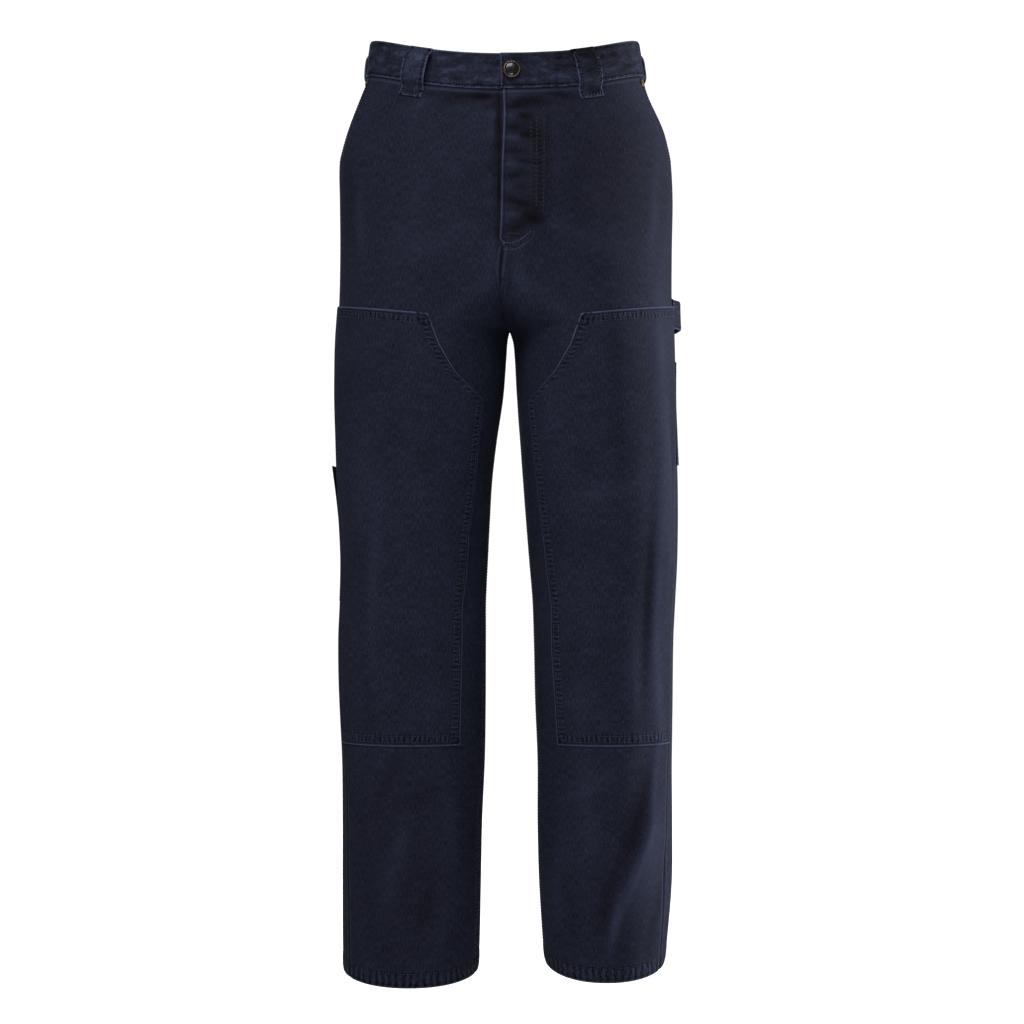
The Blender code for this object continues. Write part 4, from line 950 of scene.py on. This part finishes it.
for side in (left, right):
    word = words[side]
    levels = rowLevels(side)
    lastRow = len(levels) - 1
    flyLast = len(panel["torsoRows"])
    rows = np.unique(np.concatenate([
        splitRows(levels, 0, flyLast, panel["flyStep"]), splitRows(levels, flyLast, lastRow, panel["rowStep"]),
        panel["cornerRows"], [lastRow - near for near in panel["hemClose"]]]))
    columns = splitColumns(0, panel["frontColumns"], panel["parts"], panel["close"])
    turn, height = frontPlaces(side, rows, columns)
    lift = flyRaise(turn, height) if side == left else 0.0
    grid = layGrid(side, turn, height, lift)
    meetEnds(grid)
    distance = edgeDistances(grid)
    slashEdge = np.where(height > slash["end"], distance["first"], 1.0)
    flyEdge = np.where(height > fly["end"] - 0.002, distance["last"], 1.0)
    inseam = np.where(height > fly["end"] - 0.002, 1.0, distance["last"])
    outseam = np.where(height > slash["end"], 1.0, distance["first"])
    sewnSide = np.minimum(slashEdge, np.where(height < body["crotch"] - 0.01, distance["last"], 1.0))
    if side == left:  # the ladder of puckers down the fly
        level = grid["points"][..., 2]
        ends = (smooth((level - ladder["bottom"]) / ladder["fade"])
                * smooth((ladder["top"] - level) / ladder["fade"]))
        rungs = (np.abs(grid["points"][..., 0] - ladder["across"]) * ladder["narrowing"]
                 + ladder["faint"] + ladder["ending"] * (1.0 - ends))
        sewnSide = np.where((turn > 90.0) & (ends > 0.0), np.minimum(sewnSide, rungs), sewnSide)
    fields = {"sewn": sewnSide,
              "worn": np.minimum(slashEdge * 0.35, flyEdge if side == left else 1.0),
              "seams": np.minimum(np.minimum(outseam, inseam), distance["top"])}
    shapeEdges(grid, {"first": 0.9 * mm, "last": 0.8 * mm, "bottom": 0.5 * mm}, 2.2 * mm)
    raiseHem(grid, side, height)
    grids["front", side] = grid
    nodes = ["front_" + word + "_upper", "front_" + word + "_lower"]
    makeSheet("front" + word.title(), nodes, grid, panelFinish, ["bottom"], ["bottom"], (), fields,
              hemThick(side, height), grain=True)
    sew("front", grid, ["first"], twinRows, runOut, 0.0, above=slash["end"])
    sew("front", grid, ["last"], twinRows, 0.0, panel["hemStop"], below=fly["end"] - 30 * mm)
    sew("front", grid, ["bottom"], hemRows, 0.0, 0.0)

    patchRows = rows[(rows >= panel["patchTopRow"]) & (rows <= panel["patchBottomRow"])]
    first, last = panel["patchTopRow"], panel["patchBottomRow"]
    patchRows = np.unique(np.concatenate([patchRows, [first + 0.05, first + 0.12, last - 0.03, last - 0.08]]))
    patchColumns = np.unique(np.concatenate([
        splitColumns(0, panel["patchColumns"], panel["parts"]), [0.06, 9.8, 9.9, 9.95]]))
    turn, height = frontPlaces(side, patchRows, patchColumns)
    patchGrid = layGrid(side, turn, height, body["gap"] + body["cloth"] + 0.35 * mm)
    meetEnds(patchGrid, last=False)
    shapeEdges(patchGrid, {"first": 0.9 * mm})
    shapeEdges(patchGrid, {"last": 0.5 * mm, "top": 0.5 * mm, "bottom": 0.5 * mm}, 0.9 * mm)
    makeSheet("kneePatch" + word.title(), "knee_patch_" + word, patchGrid, patchFinish,
              ["last", "top", "bottom"], ["last", "top", "bottom"], ["first"], None, body["cloth"] + 0.3 * mm,
              0.35 * mm, True, 0.37)
    sew("front", patchGrid, ["last"], patchTwinRows)
    sew("front", patchGrid, ["top", "bottom"], patchTwinRows, runOut)

    pocketRows = splitRows(levels, 0, slash["rows"], panel["rowStep"])
    turn, height = frontPlaces(side, pocketRows, np.array([0.0, 1.0]))
    slashStart = np.maximum(turn[:, :1], slash["endTurn"])
    across = np.linspace(0, slash["steps"] + 1, 21)[None, :]
    onSlash = np.clip(across / slash["steps"], 0, 1)
    turns = np.where(across <= slash["steps"], slashStart * onSlash,
                     mix(slashStart, turn[:, 1:], np.clip(across - slash["steps"], 0, 1)))
    height, turns = height[:, :1] + 0 * turns, np.concatenate([turns[:1], turns])
    height = np.concatenate([height[:1] + 8 * mm, height])  # its top runs up behind the band
    pocket = layGrid(side, turns, height, -body["cloth"] - body["gap"])
    meetEnds(pocket, last=False)
    makeSheet("pocketSide" + word.title(), "pocket_side_" + word, pocket, panelFinish)

print("jeans: sewing of the fly")

# across and level of each row, in mm
flyRows = [
    [(27.0, -84), (26.5, -125), (26.5, -174)],
    [(33.2, -78), (33.0, -125), (32.6, -176)],
    [(40.8, -74), (41.0, -110), (40.6, -150), (39.5, -182)],
    [(-3.6, -221), (6.0, -222), (14.0, -220), (22.5, -214.5), (30.5, -207)],
    [(-3.6, -214), (5.0, -215), (12.0, -213), (19.5, -208.5), (26.5, -202)],
]
flyBars = [((1.0, -205), (15.5, -205.5)), ((27.5, -128), (34.5, -128)), ((28.5, -171), (37.0, -171)),
           ((1.0, -252), (-6.0, -252))]


def sewThrough(side, points, lift):  # a line over the front through places given by across and level
    points = np.array(points, float) * mm
    along = np.linspace(0, len(points) - 1, 12 * len(points))
    across = np.interp(along, np.arange(len(points)), points[:, 0])
    level = np.interp(along, np.arange(len(points)), points[:, 1])
    height = level.copy()
    for _ in range(4):
        turn = turnAt(side, across, height)
        height = height + level - bodyPoint(side, turn, height)[..., 2]
    raised = flyRaise(turn, height) if side == left else 0.0
    line = layGrid(side, turn[None], height[None], lift + raised)
    return line["points"][0], line["normals"][0]


for row in flyRows:
    threadLines["fly" if row[0][0] > 20 else "curve"].append(sewThrough(left, row, 0.0))
barLines = [sewThrough(left, bar, 0.1 * mm) for bar in flyBars]

print("jeans: backs, yokes and pockets")

back = {
    "yokeSide": -0.062, "yokeCentre": -0.100, "pocketColumns": (4, 10), "pocketRows": (4, 11),
    "seatTurns": (34.0, 124.0), "point": 0.014, "toolColumns": 5,
    "toolRows": {left: (17, 21), right: (21, 26)}, "toolGape": {left: 3.0 * mm, right: 9.0 * mm},
    "slope": 0.010, "gapeDepth": 0.45, "toolStep": 3.5 * mm,
}


def backTurns(side, height, columns):
    outTurn = twistOf[side][0](height)
    inTurn = twistOf[side][1](height)
    seat = smooth((height - body["crotch"] + 0.08) / 0.10)
    first, last = back["pocketColumns"]
    count = panel["backColumns"]
    outerTurn = mix(180.0 * first / count, back["seatTurns"][0], seat)
    innerTurn = mix(180.0 * last / count, back["seatTurns"][1], seat)
    c = columns[None, :]
    turn = mix(outTurn, -outerTurn, np.clip(c / first, 0, 1))
    turn = np.where(c > first, mix(-outerTurn, -innerTurn, np.clip((c - first) / (last - first), 0, 1)), turn)
    beyond = np.clip((c - last) / (count - last), 0, 1)
    return np.where(c > last, mix(-innerTurn, -180.0 - inTurn, beyond), turn)


def yokeSeam(turn):
    return mix(back["yokeSide"], back["yokeCentre"], np.abs(turn) / 180.0)


def backPlaces(side, rows, columns):
    levels = rowLevels(side)
    levels[panel["backFirstRow"] - 1] = back["yokeSide"]
    height = np.interp(rows, np.arange(len(levels)), levels)[:, None]
    first, last = back["pocketColumns"]
    top, bottom = back["pocketRows"]
    turn = backTurns(side, height, columns)
    c = columns[None, :]
    r = rows[:, None]
    slope = -back["slope"] * smooth(c / panel["backColumns"]) * np.clip(1.0 - (r - top) / 3.0, 0, 1)
    middle = np.maximum(0.0, 1.0 - np.abs(c - (first + last) / 2) / ((last - first) / 2))
    point = -back["point"] * middle * np.maximum(0.0, 1.0 - np.abs(r - bottom) / 4.0)
    lower = levels[panel["backFirstRow"]] - back["slope"] * smooth(c / panel["backColumns"])
    share = np.clip(r - (panel["backFirstRow"] - 1), 0, 1)
    seam = yokeSeam(turn) - body["gap"] / 2
    return turn, np.where(r < panel["backFirstRow"], mix(seam, lower, share), height + slope + point)


for side in (left, right):
    word = words[side]
    levels = rowLevels(side)
    lastRow = len(levels) - 1
    start = panel["backFirstRow"] - 1
    rows = splitRows(levels, start, lastRow, panel["rowStep"])
    rows = np.unique(np.concatenate([rows, [lastRow - near for near in panel["hemClose"]]]))
    columns = splitColumns(0, panel["backColumns"], panel["parts"], panel["close"])
    turn, height = backPlaces(side, rows, columns)
    grid = layGrid(side, turn, height, 0.0)
    meetEnds(grid)
    shapeEdges(grid, {"first": 0.9 * mm, "last": 0.8 * mm, "top": 0.4 * mm, "bottom": 0.5 * mm}, 2.2 * mm)
    raiseHem(grid, side, height)
    nodes = ["back_" + word + "_upper", "back_" + word + "_lower"]
    makeSheet("back" + word.title(), nodes, grid, panelFinish, ["last", "bottom"], ["bottom"],
              ["first", "last", "top"], None, hemThick(side, height), grain=True, shift=0.61)
    sew("back", grid, ["last"], twinRows, runOut, panel["hemStop"])
    sew("back", grid, ["bottom"], hemRows, 0.0, 0.0)

    turn = backTurns(side, np.array([[back["yokeSide"]]]), columns)
    share = np.linspace(0, 1, 12)[:, None]
    height = mix(body["bandBottom"] - body["gap"], yokeSeam(turn) + body["gap"] / 2, share)
    yoke = layGrid(side, turn + 0 * share, height)
    meetEnds(yoke)
    shapeEdges(yoke, {"first": 0.7 * mm, "last": 0.6 * mm, "bottom": 0.5 * mm})
    makeSheet("yoke" + word.title(), "yoke_" + word, yoke, pocketFinish, ["last", "bottom"], ["bottom"],
              ["first", "last"], grain=True, shift=0.83)
    sew("back", yoke, ["bottom"], twinRows, runOut)
    sew("back", yoke, ["last"], twinRows, runOut, runOut)

    top, bottom = back["pocketRows"]
    first, last = back["pocketColumns"]
    pocketRows = splitRows(levels, top, bottom, panel["rowStep"])
    pocketRows = np.unique(np.concatenate([pocketRows, [top + 0.06, bottom - 0.06]]))
    pocketColumns = splitColumns(first, last, panel["parts"], panel["close"])
    turn, height = backPlaces(side, pocketRows, pocketColumns)
    pocket = layGrid(side, turn, height, body["gap"] + body["cloth"] + 0.3 * mm)
    shapeEdges(pocket, {"first": 0.5 * mm, "last": 0.5 * mm, "top": 0.2 * mm, "bottom": 0.5 * mm}, 1.0 * mm)
    makeSheet("backPocket" + word.title(), "back_pocket_" + word, pocket, pocketFinish,
              ["first", "last", "bottom"], ["first", "last", "top", "bottom"], (), None,
              body["cloth"] + 0.3 * mm, 0.35 * mm, True, 0.19)
    sew("back", pocket, ["first", "last"], twinRows, runOut)
    sew("back", pocket, ["bottom"], twinRows)
    sew("back", pocket, ["top"], [14 * mm], runOut, runOut)

    top, bottom = back["toolRows"][side]
    toolRows = splitRows(levels, top, bottom, back["toolStep"])
    toolColumns = splitColumns(0, back["toolColumns"], 5, (0.06,))
    turn, height = backPlaces(side, toolRows, toolColumns)
    mouth, foot = height[0, 0], height[-1, 0]
    openShare = np.maximum(0.0, 1.0 - (mouth - height) / (back["gapeDepth"] * (mouth - foot)))
    hump = np.sin(np.pi * np.minimum(1.0, (toolColumns[None, :] + 0.9) / (back["toolColumns"] + 0.9)))
    gape = back["toolGape"][side] * openShare ** 1.3 * hump
    tool = layGrid(side, turn, height, body["gap"] + body["cloth"] + 0.25 * mm + gape)
    meetEnds(tool, last=False)
    makeSheet("toolPocket" + word.title(), "tool_pocket_" + word, tool, pocketFinish, ["last", "bottom"],
              ["last", "top", "bottom"], ["first"], None, body["cloth"] + 0.2 * mm, 0.35 * mm, shift=0.47)
    sew("back", tool, ["last", "bottom"], twinRows, runOut)
    sew("back", tool, ["top"], [12 * mm], runOut, runOut)

print("jeans: waistband, fly and loops")

band = {"underFrom": -19.0, "end": 722.6, "leftFrom": 371.3, "columns": 300, "rows": 13}


def bandPlaces(around):  # 0 at the right front's centre, 360 at the centre back, 720 at the left front's centre
    side = np.where((around < 0) | (around > 360.0), 1.0, -1.0)
    turn = np.where(around < 0, 180.0 + around, np.where(around > 360.0, around - 540.0, 180.0 - around))
    return side, turn


around = np.linspace(band["underFrom"], band["end"], band["columns"])
around = np.unique(np.concatenate([around, band["end"] - np.array([0.4, 0.8, 1.4, 2.2])]))
side, turn = bandPlaces(around)
share = np.linspace(0, 1, band["rows"])[:, None]
share = 0.5 - 0.5 * np.cos(np.pi * share)
lap = body["lapLift"] * smooth((turn - body["lapFrom"]) / body["lapOver"])
lift = np.where(around > band["leftFrom"], lap, 0.0)
height = mix(body["bandTop"], body["bandBottom"], share)
bandGrid = layGrid(side[None, :], turn[None, :], height, lift[None, :] + body["bandProud"])
shapeEdges(bandGrid, {"top": 0.8 * mm, "bottom": 0.5 * mm, "last": 0.4 * mm}, 1.4 * mm)
# the band takes the painted shade places at 0.6 strength
makeSheet("waistbandCloth", "waistband", bandGrid, bandFinish, ["bottom", "last"], ["top", "bottom", "last"],
          (), {"dark": 0.6}, body["cloth"] + body["bandProud"], 0.5 * mm, shift=0.29)
sew("front", bandGrid, ["bottom", "last"], [1.9 * mm], runOut, runOut)

shield = {"bottom": -0.211, "sides": [right, right, left, left, left],
          "turns": [176.0, 180.0, 176.0, 168.0, 163.0]}
levels = rowLevels(left)
count = int((levels >= shield["bottom"]).sum())
shieldRows = np.interp(splitRows(levels, 0, count - 1, 8 * mm), np.arange(count), levels[:count])[:, None]
shieldGrid = layGrid(np.array([shield["sides"]], float), np.array([shield["turns"]]), shieldRows,
                     -body["cloth"] - body["gap"] - 0.1 * mm)
makeSheet("flyShield", "fly_shield", shieldGrid, panelFinish)

loops = {
    "width": 0.027, "columns": 11, "shift": 1.76,
    "levels": [19.0, 15.0, 11.0, 6.0, -4.0, -14.0, -20.5, -26.5, -36.0],
    "lifts": [1.7, 2.3, 7.2, 9.8, 10.2, 9.8, 7.0, 0.8, 0.6],
    "places": [("belt_loop_front_right", right, 112.7, 104.4), ("belt_loop_front_left", left, 118.9, 113.9),
               ("belt_loop_side_right", right, -43.0, -43.0), ("belt_loop_side_left", left, -43.0, -43.0),
               ("belt_loop_centre_back", left, -180.0, -180.0)],
}


def loopGrid(side, turn, levels, lifts, half, columns):
    k = np.linspace(-1, 1, columns)[None, :]
    turns = turn + half * k + 0 * levels
    sides = np.full(turns.shape, float(side))
    past = turns < -180.0
    sides = np.where(past, -sides, sides)
    turns = np.where(past, -360.0 - turns, turns)
    return layGrid(sides, turns, levels + 0 * turns, lifts + 0 * turns)


for number, (node, side, topTurn, bottomTurn) in enumerate(loops["places"]):
    spot = min(max(topTurn, -178.0), 178.0)
    step = np.linalg.norm(bodyPoint(side, spot + 1.0, 0.0) - bodyPoint(side, spot - 1.0, 0.0))
    half = float(loops["width"] / 2 / (step / 2))
    levelsDown = through(loops["levels"], 6)[:, None] * mm
    lifts = through(loops["lifts"], 6)[:, None] * mm + body["strap"]
    turn = mix(topTurn, bottomTurn, (loops["levels"][0] * mm - levelsDown) / (55.0 * mm))
    grid = loopGrid(side, turn, levelsDown, lifts, half, loops["columns"])
    shapeEdges(grid, {"first": 0.5 * mm, "last": 0.5 * mm, "bottom": 0.4 * mm}, 1.2 * mm)
    first, *others = node.split("_")
    name = first + "".join(word.title() for word in others)
    finish = paleLoopFinish if node == "belt_loop_front_right" else loopFinish
    makeSheet(name, node, grid, finish, ["first", "last"], ["first", "last", "bottom"], (), None,
              body["strap"], 0.45 * mm, shift=loops["shift"] + 0.11 * number)
    sew("trim", grid, ["first", "last"], [3.4 * mm], runOut, runOut)
    sew("trim", grid, ["bottom"], [2.0 * mm, 3.2 * mm], runOut, runOut)

hammer = {"width": 0.033, "height": -0.279, "turns": (-2.0, -70.0), "fall": 0.012, "bow": 12.0 * mm,
          "steps": 56}
share = np.linspace(0, 1, hammer["steps"] + 1)[None, :]
bow = smooth(share / 0.16) * smooth((1.0 - share) / 0.20)
offset = np.linspace(0.5, -0.5, 11)[:, None] * hammer["width"]
hammerGrid = layGrid(left, mix(hammer["turns"][0], hammer["turns"][1], share) + 0 * offset,
                     hammer["height"] - hammer["fall"] * share + offset,
                     body["gap"] + 0.3 * mm + hammer["bow"] * bow + body["strap"] + 0 * offset)
shapeEdges(hammerGrid, {"top": 0.5 * mm, "bottom": 0.5 * mm}, 1.2 * mm)
makeSheet("hammerLoop", "hammer_loop", hammerGrid, loopFinish, ["top", "bottom"], ["top", "bottom"], (),
          None, body["strap"], 0.45 * mm)
sew("trim", hammerGrid, ["top", "bottom"], [3.4 * mm], runOut, runOut)
sew("trim", hammerGrid, ["first", "last"], [2.0 * mm, 6.0 * mm], runOut, runOut)

flyThread = {"pitch": 4.4 * mm, "long": 3.4 * mm, "wide": 1.7 * mm, "high": 0.3 * mm}
curveThread = {"pitch": 3.0 * mm, "long": 2.7 * mm, "wide": 1.4 * mm, "high": 0.5 * mm}
barThread = {"pitch": 0.9 * mm, "long": 1.5 * mm, "wide": 2.2 * mm, "high": 0.8 * mm}
flySewing = {"fly": (flyThread, shadowedThreadFinish), "curve": (curveThread,)}
for part, lines in threadLines.items():
    makeThreads(part + "Stitches", lines, *flySewing.get(part, ()))
makeThreads("flyBars", barLines, barThread, shadowedThreadFinish)

print("jeans: button and rivets")

button = {"radius": 9.0 * mm, "turn": 177.1, "height": -0.6 * mm}
rivets = {"radius": 4.2 * mm, "height": -27.5 * mm, "turns": {left: 34.0, right: 30.0}}


def standOn(side, turn, height, lift):  # a frame on the cloth, its Z the way out
    place = layGrid(side, np.array([[turn, turn]]), np.array([[height, height]]), lift)
    axis = Vector(place["normals"][0, 0])
    turned = Vector((0, 0, 1)).rotation_difference(axis).to_matrix().to_4x4()
    return Matrix.Translation(Vector(place["points"][0, 0])) @ turned


def turnedPiece(name, steps, segments, place, finish, node, bevel=0.0):
    bpy.ops.object.select_all(action="DESELECT")
    bpy.ops.mesh.primitive_circle_add(vertices=segments, radius=steps[0][0], fill_type="NGON",
                                      location=(0, 0, steps[0][1]))
    piece = bpy.context.object
    piece.name = name
    bpy.ops.object.mode_set(mode="EDIT")
    bpy.ops.mesh.select_all(action="SELECT")
    for (wide, low), (nextWide, high) in zip(steps, steps[1:]):
        bpy.ops.mesh.extrude_region_move(TRANSFORM_OT_translate={"value": (0, 0, high - low)})
        bpy.ops.transform.resize(value=(nextWide / wide, nextWide / wide, 1))
    bpy.ops.mesh.select_all(action="SELECT")
    bpy.ops.mesh.normals_make_consistent(inside=False)
    bpy.ops.object.mode_set(mode="OBJECT")
    piece.matrix_world = place @ piece.matrix_world
    bpy.ops.object.transform_apply(location=True, rotation=True, scale=True)
    finishPiece(piece, finish, node, bevel, 30.0)
    return piece


edge = button["radius"]
seat = 0.85 * edge
place = standOn(left, button["turn"], button["height"], body["bandProud"] + body["lapLift"] + body["gap"])
turnedPiece("buttonRing", [
    (3.4 * mm, 0.0), (3.0 * mm, 1.5 * mm), (0.86 * edge, 1.7 * mm), (0.97 * edge, 2.1 * mm),
    (edge, 2.7 * mm), (0.99 * edge, 3.4 * mm), (0.965 * edge, 3.8 * mm), (0.935 * edge, 3.9 * mm),
    (0.90 * edge, 3.75 * mm), (0.875 * edge, 3.2 * mm), (0.865 * edge, 2.8 * mm),
], 64, place, brassFinish, "button")
turnedPiece("buttonDome", [
    (seat, 3.1 * mm), (seat, 3.5 * mm), (0.96 * seat, 3.85 * mm), (0.86 * seat, 4.2 * mm),
    (0.70 * seat, 4.5 * mm), (0.50 * seat, 4.7 * mm), (0.28 * seat, 4.83 * mm), (0.08 * seat, 4.88 * mm),
], 64, place, domeFinish, "button_centre")
size = rivets["radius"]
for side in (left, right):
    place = standOn(side, rivets["turns"][side], rivets["height"], body["gap"] + 0.25 * mm)
    turnedPiece("rivet" + words[side].title(), [
        (0.96 * size, 0.0), (size, 0.25 * mm), (0.98 * size, 0.7 * mm), (0.86 * size, 1.0 * mm),
        (0.68 * size, 1.0 * mm), (0.56 * size, 0.72 * mm), (0.44 * size, 0.75 * mm), (0.34 * size, 1.2 * mm),
        (0.18 * size, 1.5 * mm), (0.05 * size, 1.58 * mm),
    ], 40, place, rivetFinish, "rivet_" + words[side])

print("jeans: floor, light and camera")

studio = {"floor": -1.085, "sky": 0.11, "top": 40.5, "rim": 76.0, "fill": 4.0, "front": 6.0, "back": 38.0,
          "spark": 7.5}
bpy.ops.object.select_all(action="DESELECT")
bpy.ops.mesh.primitive_plane_add(size=40.0, location=(0, 0, studio["floor"]))
floor = bpy.context.object
floor.name = "floor"
floorFinish, tree, pale = newMaterial("paleFloor")
for key, value in (("Base Color", (0.55, 0.55, 0.55, 1)), ("Roughness", 1.0), ("Specular IOR Level", 0.0),
                   ("Emission Color", (1, 1, 1, 1))):
    pale.inputs[key].default_value = value
seen = addNode(tree, "ShaderNodeLightPath", (-400, 0))  # the backdrop is white, but lights nothing
tree.links.new(seen.outputs["Is Camera Ray"], pale.inputs["Emission Strength"])
floor.data.materials.append(floorFinish)

world = bpy.data.worlds.new("studio")
world.use_nodes = True
tree = world.node_tree
sky = tree.nodes["Background"]
sky.inputs["Color"].default_value = (1, 1, 1, 1)
seen = addNode(tree, "ShaderNodeLightPath", (-600, 0))
strength = calc(tree, "MULTIPLY_ADD", seen.outputs["Is Camera Ray"], 1.0, studio["sky"])
tree.links.new(strength, sky.inputs["Strength"])
bpy.context.scene.world = world


def addLight(name, at, target, size, power):
    lamp = bpy.data.lights.new(name, "AREA")
    lamp.shape = "RECTANGLE"
    lamp.size, lamp.size_y = size
    lamp.energy = power
    holder = bpy.data.objects.new(name, lamp)
    holder.location = at
    holder.rotation_euler = (Vector(target) - Vector(at)).to_track_quat("-Z", "Y").to_euler()
    bpy.context.scene.collection.objects.link(holder)


addLight("top", (-0.5, -1.8, 1.7), (0, 0, -0.1), (1.3, 1.0), studio["top"])
addLight("front", (-0.2, -2.9, -0.4), (0, 0, -0.3), (1.2, 0.8), studio["front"])
addLight("spark", (0.0, -2.9, -0.38), (0, 0, -0.2), (0.3, 0.3), studio["spark"])  # a small glint on the button
addLight("back", (-0.4, 2.7, 0.7), (0, 0, -0.4), (1.2, 1.0), studio["back"])
addLight("rim", (2.2, 0.5, -0.3), (0.1, 0, -0.5), (0.4, 1.9), studio["rim"])
addLight("fill", (-2.3, -1.0, 0.1), (0, 0, -0.4), (0.6, 1.8), studio["fill"])

view = {"distance": 2.9, "across": 0.0067, "level": -0.5015, "metresPerPixel": 1.112e-3}
camera = bpy.data.cameras.new("camera")
camera.sensor_width = 36.0
camera.lens = 36.0 * view["distance"] / (1024 * view["metresPerPixel"])
eye = bpy.data.objects.new("camera", camera)
eye.location = (view["across"], -view["distance"], view["level"])
eye.rotation_euler = (math.radians(90), 0, 0)
bpy.context.scene.collection.objects.link(eye)
bpy.context.scene.camera = eye
bpy.context.scene.view_settings.view_transform = "Standard"

print("jeans: done")
